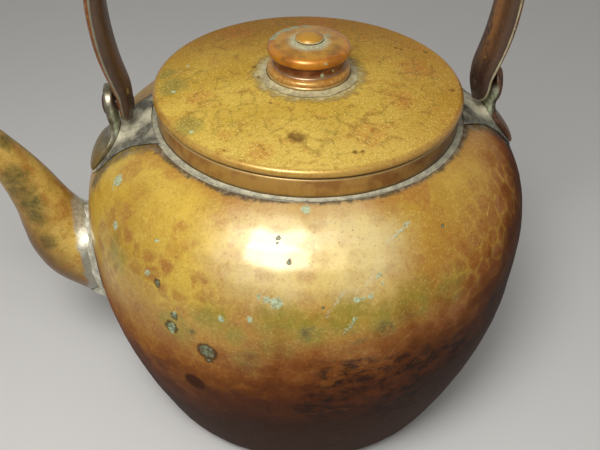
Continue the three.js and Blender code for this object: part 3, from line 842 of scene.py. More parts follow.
def makeKnob(copper, neckCopper, grey):
    radius, tall, rounding = knob["base"]
    foot, top = knob["seat"], knob["seat"] + tall
    gap = knob["gap"]
    section = [(knob["bore"], foot), (radius, lidTop(radius) + gap), (radius, top - rounding - 0.9)]
    section += [(radius - 0.28, top - rounding - 0.55), (radius - 0.05, top - rounding - 0.15)]
    section += arc((radius - rounding, top - rounding), rounding, 6, 90, 10)
    section += [(knob["bore"], top)]
    dress(ringPiece("knobBaseRing", section, knob["steps"], copper), "lid", "knob_copper", "knob_base_ring")

    radius, wall, tall = knob["neck"]
    low, high = top, top + tall
    section = [(radius - wall, low), (radius, low), (radius, low + 0.25), (radius - 0.22, low + 0.5)]
    section += [(radius - 0.3, (low + high) / 2), (radius - 0.2, high - 0.4)]
    section += [(radius, high), (radius - wall, high)]
    dress(ringPiece("knobNeck", section, knob["steps"], neckCopper), "lid", "knob_copper", "knob_neck")

    radius, thick, crown = knob["cap"]
    half = thick / 2
    edge = radius - half
    section = [(knob["bore"], high), *arc((edge, high + half), half, -90, 90, 24)]
    for r in np.linspace(edge, knob["bore"], 16)[1:]:
        section.append((r, high + thick + crown * (1 - (r / edge) ** 2)))
    dress(ringPiece("knobCap", section, knob["steps"], copper), "lid", "knob_copper", "knob_cap")

    shaft, wide, dome = knob["rivet"]
    tail, tailTall = knob["tail"]
    crest = high + thick + crown + gap
    under = lidTop(0) - lid["wall"] - gap
    section = [(0.05, under - tailTall), (tail - 0.4, under - tailTall), (tail, under - tailTall + 0.4),
               (tail, under), (shaft, under), (shaft, crest), (wide, crest)]
    section += [(wide - 0.15 + 0.15 * math.cos(t), crest + 0.3 * math.sin(t)) for t in (0.5, 1.0)]
    for t in np.linspace(0.12, math.pi / 2, 14)[:-1]:
        swell = 0.75 + 0.25 * math.cos(t)
        section.append(((wide - 0.3) * math.cos(t) * swell, crest + 0.25 + (dome - 0.25) * math.sin(t)))
    section.append((0.05, crest + dome))
    rivet = madeSkin("knobRivet", turned(section, 96), copper, poles=(True, True))
    dress(rivet, "lid", "knob_copper", "knob_rivet")

    steps = knobSolder["steps"]
    widths = knobSolder["width"] * (1 + 0.16 * wave(steps, *knobSolder["widthWave"]))
    heights = knobSolder["height"] * (0.8 + 0.08 * wave(steps, *knobSolder["heightWave"]))
    rings = filletRings(lambda radius: lidTop(radius) + gap, knob["base"][0] + gap,
                        widths, heights, knobSolder, (1,))
    solder = madeSkin("knobSolderRing", rings, grey, 70, loop=True)
    dress(solder, "lid", "solder", "knob_solder")


# Ears: round lobe, waist and leaf, from one bent plate each
ear = {
    "place": 69.618,
    "pivot": 131.0,
    "thick": 3.4,
    "leafThickness": [(0, 1), (0.25, 1.1), (0.55, 1.06), (0.8, 0.85), (1, 0.48)],
    "lobe": 6.9,
    "waist": 8.3,
    "leaf": (8.6, 18.408),
    "lifts": [(0.2, 1.06), (0.45, 0.62), (0.72, 0.38), (1, 0.06)],
    "widths": [(0, 0.52), (0.12, 0.66), (0.28, 0.88), (0.45, 1), (0.62, 0.98), (0.78, 0.82), (0.9, 0.56),
               (0.97, 0.3), (1, 0.14)],
    "step": 0.3,
    "sides": 56,
    "bore": 2.5,
    "square": 0.5,
    "dome": 0.42,
    "topRound": 0.9,
    "tipRound": 0.8,
}


def earLine():
    pivotHeight, lobe = ear["pivot"], ear["lobe"]
    foot = pivotHeight - ear["waist"]
    heights = (pivotHeight + lobe, pivotHeight + lobe / 2, pivotHeight, pivotHeight - lobe / 2, foot)
    knots = [(ear["place"], 0, height) for height in heights]
    for share, lift in ear["lifts"]:
        height = foot - ear["leaf"][1] * share
        knots.append((shoulderRadius(height) + ear["thick"] * lift, 0, height))
    return spread(catmull(knots, 16), ear["step"])


def smoothTable(table, at):
    # values between rows, eased so that no corner shows
    table = np.array(table, float)
    fine = np.interp(np.linspace(0, 1, 400), table[:, 0], table[:, 1])
    kernel = np.hanning(31)
    padded = np.pad(fine, 15, mode="edge")
    return np.interp(at, np.linspace(0, 1, 400), np.convolve(padded, kernel / kernel.sum(), "valid"))


def earRings():
    line = earLine()
    run = runOf(line)
    out = np.cross(yAxis, unit(np.gradient(line, axis=0)))
    out *= np.sign(out[:1, :1])
    split = ear["lobe"] + ear["waist"]
    section = circle(ear["sides"])
    across, deep = (np.sign(section) * np.abs(section) ** ear["square"]).T
    rings = []
    for at, centre, facing in zip(run, line, out):
        share = np.clip((at - split) / (run[-1] - split), 0, 1)
        leafWide = ear["leaf"][0] * smoothTable(ear["widths"], share)
        lobeWide = math.sqrt(max(ear["lobe"] ** 2 - (at - ear["lobe"]) ** 2, 0.09))
        waistWide = ear["leaf"][0] * ear["widths"][0][1]
        if at <= ear["lobe"]:
            wide = lobeWide
        elif at < split:
            # the lobe flows into the waist
            wide = (lobeWide ** 6 + waistWide ** 6) ** (1 / 6)
        else:
            wide = leafWide
        thick = ear["thick"] * smoothTable(ear["leafThickness"], share) / 2
        if at > run[-1] - ear["tipRound"]:
            thick *= math.sqrt(max(1 - (1 - (run[-1] - at) / ear["tipRound"]) ** 2, 0.05))
        if at < ear["topRound"]:
            thick *= math.sqrt(max(1 - (1 - at / ear["topRound"]) ** 2, 0.1))
        # the leaf is domed like the back of a spoon
        dome = ear["dome"] * easy(share / 0.3) * np.abs(across) ** 2.5
        ring = centre + wide * across[:, None] * yAxis
        ring = ring + (thick * np.where(deep > 0, deep * (1 - dome), deep))[:, None] * facing
        rings.append(ring)
    return np.array(rings)


def halfTurned(points):
    return np.asarray(points) * np.array([-1, -1, 1])


def bothSides(name, points, faces, finish, slot, node, sharp=35.0, bores=()):
    # the right piece and the same one half a turn round the kettle
    for word, place in (("right", points), ("left", halfTurned(points))):
        piece = madePiece(word + name, place, faces, finish, sharp)
        if bores:
            low, high = bores if word == "right" else (-bores[0], -bores[1])
            carve(piece, bar(ear["bore"], (low, 0, ear["pivot"]), (high, 0, ear["pivot"]), 48))
        dress(piece, "kettle", slot, word + node)


def makeEars(finish):
    points, faces = skin(earRings(), poles=(True, True))
    bothSides("Ear", points, faces, finish, "bronze", "_ear", 40, (ear["place"] - 9, ear["place"] + 9))


# Solder webs between collar, shoulder and ear
web = {
    "rise": 3.1,
    "edge": 0.4,
    "angle": 19.0,
    "start": 56.4,
    "end": 80.618,
    "gap": 0.3,
    "rows": [(1, 0.17), (0.87, 0.18), (0.76, 0.19), (0.66, 0.23), (0.58, 0.3), (0.53, 1), (0.49, 0.62),
             (0.47, 0.24), (0.44, 0.18), (0.36, 0.17), (0.16, 0.17)],
    "along": 70,
    "across": 56,
    "lump": 0.16,
    "seed": 17,
    "smoothing": 4,
}


def makeWebs(finish):
    rows = np.array(web["rows"])
    at = np.linspace(0, 1, web["along"])
    knots = np.linspace(0, 1, len(rows))
    spreads = smoothTable(np.column_stack([knots, rows[:, 0]]), at)
    rises = smoothTable(np.column_stack([knots, rows[:, 1]]), at)
    noise = np.random.default_rng(web["seed"])
    lump = noise.normal(0, 1, (web["along"], web["across"] + 1))
    for _ in range(web["smoothing"]):
        rolled = [np.roll(lump, way, axis) for axis in (0, 1) for way in (1, -1)]
        lump = sum(rolled, lump) / 5
    lump /= np.abs(lump).max()
    rings = []
    for i, share in enumerate(at):
        radius = web["start"] + (web["end"] - web["start"]) * share
        angle = math.radians(web["angle"] * spreads[i])
        base = shoulderHeight(radius) + 2 * web["gap"]
        top, foot = [], []
        for j in range(web["across"] + 1):
            across = -1 + 2 * j / web["across"]
            full = (1 - across ** 2)
            rise = web["edge"] + (web["rise"] * rises[i] - web["edge"]) * full ** 2
            rise = max(rise, 0.12) * (0.35 + 0.65 * min(full * 6, 1)) + web["lump"] * lump[i, j] * full
            x, y = radius * math.cos(angle * across), radius * math.sin(angle * across)
            top.append((x, y, base + max(rise, 0.06)))
            foot.insert(0, (x, y, base))
        rings.append([*top, *foot])
    points, faces = closedStrip(rings)
    # each ear, grown by the gap, is cut out of its web
    earPoints = earRings()
    grown = earPoints + web["gap"] * unit(earPoints - earPoints.mean(1, keepdims=True))
    toolPoints, toolFaces = skin(grown, poles=(True, True))
    for word, turn in (("right", np.asarray), ("left", halfTurned)):
        piece = madePiece(word + "EarSolder", turn(points), faces, finish, 70)
        carve(piece, madePiece("cutter", turn(toolPoints), toolFaces, plain))
        dress(piece, "kettle", "solder", word + "_ear_solder")


# Pivot rivets
pivot = {"radius": 2.2, "outer": (4.0, 1.3), "flush": 2.44, "proud": 0.18}


def makePivots(finish):
    # a low dome outside the ear, and a tail filed flush with the inside of the bail
    inside = bail["foot"] - 0.15 - (bail["inner"] - bail["shift"]) * bail["footShare"]
    outside = ear["place"] + ear["thick"] / 2
    flush, proud = pivot["flush"], pivot["proud"]
    section = [(0.05, inside - proud), (flush * 0.7, inside - proud * 0.8), (flush - 0.1, inside - 0.02),
               (flush, inside + 0.3), (pivot["radius"], inside + 0.35), (pivot["radius"], outside)]
    wide, tall = pivot["outer"]
    dome = np.linspace(0.1, math.pi / 2, 14)[:-1]
    section.append((wide, outside))
    section += [(wide * math.cos(t), outside + tall * math.sin(t)) for t in dome]
    section.append((0.05, outside + tall))
    rings = turned(section, 64)
    # laid along X through the pivots
    laid = np.stack([rings[..., 2], rings[..., 1], ear["pivot"] - rings[..., 0]], 2)
    points, faces = skin(laid, poles=(True, True))
    bothSides("PivotRivet", points, faces, finish, "bronze", "_pivot_rivet")


# Bail: an outer shell and an inner strip on one arch, with a worn bead of solder along both seams
bail = {
    "foot": 64.118,
    "span": 68.218,
    "spanHeight": 33.0,
    "height": 97.0,
    "straight": 4.0,
    "half": 8.0,
    "tongue": 7.4,
    "drop": 6.2,
    "outer": 2.2,
    "inner": 4.1,
    "shift": 1.4,
    "footShare": 0.78,
    "tipShare": 0.45,
    "sheet": 0.9,
    "gap": 0.3,
    "bends": (0.15, 0.6),
    "arch": 0.58,
    "step": 1.5,
    "sides": 28,
    "bead": 0.42,
    "beadInset": 0.12,
    "beadStep": 1.1,
    "beadSides": 10,
    "beadWave": (41, (9, 23, 47, 83, 131)),
}


def bezier(p, count):
    t = np.linspace(0, 1, count)[:, None]
    p = np.asarray(p, float)
    return (1 - t) ** 3 * p[0] + 3 * (1 - t) ** 2 * t * p[1] + 3 * (1 - t) * t ** 2 * p[2] + t ** 3 * p[3]


def bailLine():
    foot, span, level = bail["foot"], bail["span"], bail["spanHeight"]
    low, high = bail["straight"], bail["height"]
    leave, meet = ((level - low) * share for share in bail["bends"])
    leg = bezier([(foot, low), (foot, low + leave), (span, level - meet), (span, level)], 60)
    arch = bail["arch"]
    rise = (high - level) * arch
    crown = bezier([(span, level), (span, level + rise), (span * arch, high), (0, high)], 120)
    half = np.vstack([[(foot, -bail["drop"]), (foot, low)], leg[1:], crown[1:]])
    whole = np.vstack([half, (half * [-1, 1])[::-1][1:]])
    line = spread(whole, 0.25)
    return np.column_stack([line[:, 0], np.zeros(len(line)), ear["pivot"] + line[:, 1]])


def bailStations():
    # arc lengths of the sections, close together round each tip
    total = runOf(bailLine())[-1]
    tip = bail["tongue"] * (1 - np.cos(np.linspace(0.12, math.pi / 2, 14)))
    between = np.linspace(tip[-1], total - tip[-1], int(total / bail["step"]))
    return np.concatenate([tip[:-1], between, (total - tip[:-1])[::-1]]), total


def bailFrames():
    line = bailLine()
    run = runOf(line)
    stations, total = bailStations()
    centre = np.stack([np.interp(stations, run, line[:, k]) for k in range(3)], 1)
    slope = np.gradient(line, axis=0)
    along = unit(np.stack([np.interp(stations, run, slope[:, k]) for k in range(3)], 1))
    out = np.cross(yAxis, along)
    tip = np.minimum(stations, total - stations)
    inTongue = np.clip(tip / bail["tongue"], 0, 1)
    half = bail["tongue"] * np.sqrt(1 - (1 - inTongue) ** 2)
    half += (bail["half"] - bail["tongue"]) * easy(tip / bail["tongue"] - 1)
    full = bail["tipShare"] + (bail["footShare"] - bail["tipShare"]) * easy(inTongue)
    full += (1 - bail["footShare"]) * easy(tip / (2.8 * bail["tongue"]) - 0.5)
    return centre, out, half, full


def bailSheet(side, depth, roll):
    turns = np.linspace(0, math.pi, bail["sides"] + 1)
    across = -np.cos(turns)
    tall = np.sin(turns) ** roll  # flatter in the middle than a half round
    rings = []
    for spot, facing, wide, share in zip(*bailFrames()):
        spot = spot + facing * bail["shift"] * share
        facing = facing * side
        crown = depth * share
        bore = max(wide - bail["sheet"], wide / 2)
        outer = spot + (wide * across)[:, None] * yAxis
        outer = outer + (bail["gap"] / 2 + crown * tall)[:, None] * facing
        hollow = spot + (bore * across)[:, None] * yAxis
        hollow = hollow + (bail["gap"] / 2 + max(crown - bail["sheet"], 0.05) * tall)[:, None] * facing
        rings.append(np.concatenate([outer, hollow[::-1]]))
    return closedStrip(rings)


def makeBail(shellFinish, stripFinish):
    reach = bail["foot"] + 9
    for name, side, depth, finish, node, roll in (
            ("bailOuterShell", 1, bail["outer"], shellFinish, "bail_outer_shell", 0.8),
            ("bailInnerStrip", -1, bail["inner"], stripFinish, "bail_inner_strip", 0.5)):
        piece = madePiece(name, *bailSheet(side, depth, roll), finish, 50)
        carve(piece, bar(ear["bore"], (-reach, 0, ear["pivot"]), (reach, 0, ear["pivot"]), 48))
        dress(piece, "bail", "dark_copper", node)


def makeBead(finish):
    # one closed line of solder round the whole outline of the bail
    centre, out, half, full = bailFrames()
    middle = centre + out * (bail["shift"] * full)[:, None]
    one, other = (middle + (sign * (half - bail["beadInset"]))[:, None] * yAxis for sign in (1, -1))
    outline = np.vstack([one, other[::-1]])
    outline = spread(np.vstack([outline, outline[:1]]), bail["beadStep"])[:-1]
    along = unit(np.roll(outline, -1, 0) - np.roll(outline, 1, 0))
    uneven = 1 + 0.16 * wave(len(outline), *bail["beadWave"])
    section = circle(bail["beadSides"])
    rings = []
    for spot, ahead, swell in zip(outline, along, uneven):
        first = np.cross(ahead, yAxis)
        if np.linalg.norm(first) < 0.3:
            first = np.cross(ahead, [0, 0, 1.0])
        first = unit(first)
        rings.append(spot + bail["bead"] * swell * (section @ np.stack([first, np.cross(first, ahead)])))
    dress(madeSkin("bailSeamBead", rings, finish, 180, loop=True), "bail", "dark_copper")


# Finishes
tones = {
    "straw": "#cfab3e",
    "gold": "#b58c22",
    "orange": "#a86d18",
    "amber": "#a35f22",
    "russet": "#8a4613",
    "umber": "#4a220d",
    "soot": "#1c0e08",
    "olive": "#908423",
    "moss": "#55521f",
    "verdigris": "#b4c4a2",
    "deepGreen": "#58684f",
    "cream": "#d2ccb2",
    "ash": "#969281",
    "lead": "#3a3833",
    "spark": "#ecd272",
}

# dark edge of the solder round the ears, as lines with their widths; the same before and behind
earFringe = [
    ((57.5, 7, 124.6), (60.5, 11.5, 123.4), 2.6), ((55.5, 16, 124), (62, 13.5, 121.6), 3.2),
    ((62, 12.4, 121.4), (70, 11.4, 116.2), 3.4), ((70, 11.4, 116.2), (79, 11.8, 107), 2.8),
    ((55.5, 17, 124.2), (48, 29, 124.4), 1.5),
]


def byEars(f, place):
    folded = f.ragged(place, 3.0, 2.2).moved("ABSOLUTE")
    return f.strokes(folded, earFringe).fall(0.5, 1.9)


def fromAxis(place):
    return place.moved("MULTIPLY", (1, 1, 0)).moved("LENGTH", out="Value")


bodyMarks = {
    "verdigris": [
        (-68.1, -24, 115.1, 2.3), (-69, -25, 112, 1.6), (-69.5, -37.6, 106.8, 1.5),
        (-54.9, -52.1, 111.5, 0.6), (-59.1, -56.2, 101.6, 1.0), (-8.7, -57.2, 123.9, 1.5),
        (-20, -77.3, 105.2, 1.9), (-22.7, -76.6, 105.9, 1.3), (-25.3, -75.6, 106.4, 0.8),
        (-36.9, -74.4, 97.1, 1.0), (-28.4, -77.4, 99, 1.0), (-51.2, -66.4, 92.9, 0.9),
        (-53.4, -65.8, 84.2, 1.2), (-52.9, -66.4, 87, 0.8), (21.3, -63, 119.5, 0.7),
        (19.6, -64.5, 118.9, 0.6), (17.7, -66.2, 118, 0.6), (11.1, -75.2, 111.2, 0.8),
        (3.9, -79.4, 105.8, 1.0), (5.8, -79.2, 106, 0.7), (8.5, -79, 106.3, 0.8),
        (2.9, -82.1, 99.9, 0.7), (1.7, -82.6, 98.2, 0.5), (0.5, -83.1, 96.8, 0.5),
        (12, -77.5, 109.5, 0.9), (62.8, 17.3, 108, 1.6), (50.5, 55.9, 104, 2.0), (-26.7, 75.2, 98, 1.7),
        (-61.9, 49.7, 96, 1.3),
    ],
    "scab": [
        (-42.3, -73.6, 81, 3.8), (-47.7, -70, 61.1, 4.0), (-41.8, -73.4, 76.8, 1.4),
        (-53.1, -65.9, 86, 2.6), (-56.1, -59.9, 100.4, 1.5), (34.2, -61.6, 116.6, 0.7),
        (-51.5, -66.2, 91.5, 1.4), (33.4, 76.6, 80, 3), (-6.4, -79.7, 104.2, 0.6),
        (-21.8, -72.7, 113, 0.5), (-15.5, -70.5, 115.1, 0.9), (-18, -64.2, 119.3, 0.8),
        (-18.5, -65.5, 118.4, 0.5),
    ],
    "olive": [
        (-11.1, -82.4, 96.3, 7.5), (-28.9, -79.8, 80.2, 8), (12.8, -81.5, 98.8, 8),
        (-67.9, -42.1, 98, 7), (-52.4, -66.3, 87, 8), (-1.6, -82.5, 99, 6), (-21.6, -81.7, 88, 7),
        (-33.5, -78.6, 92, 5), (71.2, 26.9, 90, 12), (13.6, 81.5, 88, 12), (-52.2, 64.3, 84, 10),
        (-20, -80, 99, 9), (22, -79, 101, 10), (-40, -73, 96, 7), (36, -74, 101, 8), (2, -81, 102, 8),
    ],
    "scorch": [
        (2.3, -84.9, 76, 13), (18.4, -82.9, 72, 15), (32.6, -78.5, 74, 13), (42.9, -72.9, 66, 15),
        (22.5, -81.1, 58, 18), (-3.7, -83.9, 60, 14), (36.8, -73.7, 50, 20), (59.5, -57.7, 80, 12),
        (62.3, 52.3, 60, 20), (-16.5, 80.8, 55, 22),
    ],
    "moss": [
        (-11.4, -82.3, 96.2, 3.4), (-29, -79.8, 79, 4), (-28, -79, 84, 2.6), (12.9, -82.6, 94.4, 4),
        (20, -81, 98, 3), (5, -84, 92, 2.4), (-46.5, -70.5, 88, 2.6), (36, 76, 92, 5),
    ],
}

bodyStrokes = {
    "pale": [
        ((23, -62, 119.7), (14.7, -67.8, 117.5), 0.55), ((0.7, -77.6, 109), (-5.6, -81.2, 101.8), 0.6),
        ((10.3, -74.2, 112.4), (6.6, -77.2, 109.1), 0.35),
    ],
    "crust": [
        ((3.8, -81.7, 100.6), (-0.1, -83.4, 95.3), 0.5), ((22.5, -62.2, 119.6), (17.5, -66, 118.3), 0.4),
    ],
    "hair": [
        ((54.1, -49, 114.2), (52.2, -53.5, 112.5), 0.28), ((30, -60, 117.5), (33, -62, 115.6), 0.25),
    ],
}

# centres and radii of the painted highlight haze round the body's highlight
paintedHighlightHaze = [(-19, -66, 117, 25), (6, -69, 115, 20), (0, -62, 120, 18)]

# where the hammer's rounds show most
roundZones = [
    (-57, -52, 104, 17), (-48, -62, 103, 13), (-66, -40, 95, 14), (58, -52, 107, 16), (66, -36, 108, 14),
    (45, -66, 104, 11), (60, 50, 104, 20), (-50, 58, 100, 20), (0, 84, 98, 16),
]


def goldenBody():
    f = Finish("goldenHammered", coatRoughness=0.24, coatIor=1.8, specularIorLevel=0.08)
    place = f.place()
    x, z = place.parts("XZ")
    shaken = f.ragged(place, 1.6, 0.9)
    broadly = f.ragged(place, 9.0, 5.0)
    broad = f.cloud(place, 34, 4)
    middling = f.cloud(place.moved("ADD", (40, 7, 3)), 9, 5, 0.62)
    small = f.cloud(place.moved("ADD", (11, 5, 31)), 2.4, 4, 0.6)
    grain = f.cloud(place, 0.9, 3, 0.75)
    edge = f.attribute("flatEdge")
    tone = f.attribute("flatTone")

    f.color = f.blend(broad.rise(0.36, 0.6), tones["gold"], tones["straw"])
    f.lay(middling.rise(0.46, 0.64) * 0.38, tones["orange"])
    # painted highlight: a pale haze round the body's highlight, on the front
    pale = f.near(broadly, paintedHighlightHaze).fall(0.2, 1.25)
    f.lay(pale * (0.6 + 0.5 * (middling - 0.5)), "#e6d6a2")
    f.lay((small + 0.4 * (tone - 0.5)).rise(0.5, 0.68) * (0.35 - 0.2 * pale), tones["amber"])
    # brown and then black towards the base, higher up on the side away from the spout; partly soot, partly
    # painted shade, which also darkens the far right flank
    level = z - 0.36 * x.most(0.0) - 0.26 * (x + 10).least(0.0) + 30 * (middling - 0.5) + 18 * (broad - 0.5)
    level = level + 6 * (tone - 0.5) - 0.8 * (x - 54).most(0.0)
    f.lay(level.fall(90, 112) * 0.75, tones["orange"])
    zone = f.near(place, roundZones).fall(0.5, 1.3)
    rounds = edge.fall(0.5, 0.98) * (tone + 1.2 * (small - 0.5)).rise(0.1, 0.9)
    f.lay(rounds * (0.14 + 0.42 * zone), "#94551b")
    olives = f.near(broadly, bodyMarks["olive"]).fall(0.4, 1.2)
    f.lay(olives * (0.6 + 1.6 * (small - 0.45)), tones["olive"])
    mosses = f.near(f.ragged(place, 4, 2.2), bodyMarks["moss"]).fall(0.2, 1.15)
    f.lay(mosses * (0.5 + 2.0 * (small - 0.45)), tones["moss"])
    f.lay(level.fall(78, 100) * 0.85, tones["russet"])
    lines = edge.rise(0.7, 0.99) * (0.1 + 0.35 * zone) * (middling + small).rise(0.75, 1.1)
    f.lay(lines, "#c9a63c")
    f.lay(level.fall(62, 88) * 0.92, tones["umber"])
    smudge = f.cloud(place.moved("MULTIPLY", (1, 1, 1.6)), 5.0, 4, 0.6)
    scorched = f.near(broadly, bodyMarks["scorch"]).fall(0.35, 1.2)
    f.lay(scorched * smudge.rise(0.42, 0.62) * 0.85, tones["soot"])
    f.lay(level.fall(44, 66) * 0.7, tones["soot"])

    # grain of the patina, freckles, pits and bright specks
    bright = level.rise(66, 98)
    f.lay(grain.rise(0.5, 0.72) * (0.1 + 0.2 * bright), f.blend(bright, tones["amber"], tones["spark"]))
    f.lay(grain.fall(0.3, 0.46) * 0.3, f.blend(bright, tones["soot"], tones["russet"]))
    freckle = f.cells(shaken, 2.1).fall(0.05, 0.16) * small.rise(0.46, 0.62)
    f.lay(freckle * 0.65, tones["umber"])
    spark = f.cells(place.moved("ADD", (3, 1, 9)), 1.1).fall(0.06, 0.2) * grain.rise(0.44, 0.6) * bright
    f.lay(spark * 0.4, tones["spark"])

    # solder smeared round the collar, with a sooty edge
    radius = fromAxis(place)
    top = z.rise(96, 104)
    rough = radius + 3.0 * (small - 0.5) + 4.0 * (middling - 0.5)
    stained = rough.fall(58.4, 62.5) * top
    f.lay(stained * 0.25, tones["amber"])
    sooty = (rough - 0.03 * x.size()).fall(55.6, 57.2) * top
    sooty = sooty.most(byEars(f, place) * (0.9 + 1.4 * (small - 0.5))).least(1.0)
    f.lay(sooty * 0.85, f.blend(small.rise(0.45, 0.68) * 0.6, tones["lead"], tones["ash"]))
    grey = f.blend(small.rise(0.38, 0.62), tones["ash"], tones["cream"])
    bloom = (radius + 0.9 * (small - 0.5) - 0.02 * x.size()).fall(55.1, 55.6) * top
    f.lay(bloom * 0.9, grey)

    # scabs, verdigris and scratches
    rim = f.near(shaken, bodyMarks["scab"])
    f.lay(rim.fall(0.8, 1.2) * 0.85, "#3a1f12")
    core = rim.fall(0.5, 0.9) * grain.rise(0.34, 0.6) * z.rise(66, 72)
    f.lay(core * 0.85, "#8a9877")
    crust = f.near(f.ragged(place, 1.3, 1.4), bodyMarks["verdigris"]).fall(0.7, 1.25)
    splash = f.strokes(shaken, bodyStrokes["crust"]).fall(0.5, 1.3) * grain.rise(0.4, 0.6)
    crust = (crust * (0.6 + 1.4 * (grain - 0.25))).most(splash).least(1.0)
    f.lay(crust * 0.9, f.blend(grain.rise(0.3, 0.56), tones["deepGreen"], tones["verdigris"]))
    scrape = f.strokes(f.ragged(place, 1.2, 0.9), bodyStrokes["pale"]).fall(0.2, 1.3)
    scrape = scrape * grain.rise(0.36, 0.6)
    f.lay(scrape * 0.65, "#bdc2a8")
    hair = f.strokes(place, bodyStrokes["hair"]).fall(0.3, 1.1)
    f.lay(hair * 0.7, tones["spark"])

    dull = (crust + rim.fall(0.8, 1.2) * 0.8 + bloom + sooty * 0.8 + scrape * 0.6).least(1.0)
    glossy = level.least(z + 6).rise(72, 104)
    height = 0.03 * grain + 0.05 * small + 0.16 * crust * grain + 0.1 * core * grain + 0.06 * sooty * small
    return f.done(height,
                  metallic=(0.03 + 0.15 * glossy) * (1 - 0.9 * dull),
                  roughness=0.6 - 0.18 * glossy + 0.12 * small + 0.2 * dull,
                  coatWeight=(0.02 + 0.6 * glossy) * (1 - dull))


spoutMarks = {
    "verdigris": [
        (-93.9, -8.9, 84, 1.0), (-110, -3.2, 92, 1.1), (-104.3, -5.5, 76, 0.7), (-117.6, 11.1, 118, 1.0),
    ],
    "olive": [
        (-107.2, -5, 106.4, 6), (-106, -6, 101, 6), (-104.1, -8, 95.5, 6), (-103, -9, 90, 5),
        (-99.8, -12, 79.7, 4), (-107.7, -2, 119, 4), (-100, 10, 88, 8), (-112, 6, 108, 7),
    ],
}


def goldenSpout():
    f = Finish("goldenSpout", coatRoughness=0.22, coatIor=1.5, specularIorLevel=0.15)
    place = f.place()
    x, y, z = place.parts("XYZ")
    shaken = f.ragged(place, 1.6, 0.7)
    broadly = f.ragged(place, 6.0, 3.0)
    broad, middling, small, grain = f.clouds(place, (14, 4), (5, 5, 0.6), (1.6, 4), (0.6, 3))
    f.color = f.blend(broad.rise(0.36, 0.64), "#b48c40", "#cfab55")
    f.lay(middling.rise(0.46, 0.64) * 0.55, tones["amber"])
    f.lay(small.rise(0.5, 0.66) * 0.4, tones["olive"])
    f.lay(grain.rise(0.5, 0.7) * 0.35, "#d8bd74")
    f.lay(grain.fall(0.32, 0.46) * 0.25, tones["russet"])
    olives = f.near(broadly, spoutMarks["olive"]).fall(0.35, 1.2)
    f.lay(olives * (0.6 + 0.9 * (small - 0.4)), "#4c4a22")
    # painted shade: browner below, and darker along the far side
    under = (z + 1.3 * x + 14 * (middling - 0.5)).fall(-66, -42)
    f.lay(under * 0.75, tones["umber"])
    over = (y + 0.25 * (z + 1.25 * x + 30) + 4 * (middling - 0.5)).rise(2.5, 9.5)
    f.lay(over * 0.65, "#4f4320")
    spark = f.cells(place, 1.1).fall(0.05, 0.17) * grain.rise(0.48, 0.66)
    f.lay(spark * 0.5, "#d8bc66")
    # bright tin wiped over the joint with the body
    tinned = (fromAxis(place) + 3.4 * (middling - 0.5) + 2.2 * (small - 0.5)).fall(89.8, 91.6)
    tin = f.blend(small.rise(0.38, 0.6), "#bdbaa3", "#dedcc8")
    tin = f.blend((z + 8 * (middling - 0.5)).fall(72, 78) * 0.75, tin, "#807c70")
    f.lay(tinned * 0.95, tin)
    crust = f.near(shaken, spoutMarks["verdigris"]).fall(0.75, 1.15)
    f.lay(crust * 0.9, tones["verdigris"])
    dull = crust.least(1.0)
    return f.done(0.1 * middling + 0.05 * small + 0.06 * crust,
                  metallic=0.25 + 0.35 * tinned - 0.2 * dull,
                  roughness=0.4 + 0.12 * small - 0.1 * tinned,
                  coatWeight=0.4 - 0.3 * dull)


lidMarks = {
    "scab": [
        (-8.8, -38.3, 137.1, 2.8), (-10.6, -37, 137.2, 1.7), (7.7, -46.7, 136.4, 1.0),
        (10.2, -46.5, 136.4, 0.8), (36.3, 18.8, 137, 0.9), (38.4, 17.7, 137, 0.8),
        (47.5, 16.2, 136.1, 1.0), (49.1, -12.8, 136, 1.1), (29, 22.8, 138, 0.8),
        (-18.7, 6.8, 138.5, 1.2), (-17.7, -1.2, 138.5, 1.0), (-15.4, -18.3, 138, 0.8),
        (-31.8, -40.7, 136, 0.6),
    ],
    "green": [
        (-42.3, 13.4, 136.7, 0.7), (-41.8, -29.3, 136, 0.8), (-47.5, -4.2, 136.3, 0.9),
        (-39.1, -25.3, 137, 0.5),
    ],
    "olive": [(-48, 0.1, 136, 7), (-43.2, -26.1, 136.4, 6), (-49.6, 10.2, 136, 5)],
    "orange": [
        (14.3, -38.7, 137, 7), (-38.5, -10.3, 137, 6), (29.2, -19.3, 138, 7), (-21.9, -43.1, 136, 5),
        (40.1, 2.3, 137, 8), (9.9, 43.6, 136, 10), (-22.3, 39, 136, 9),
    ],
}


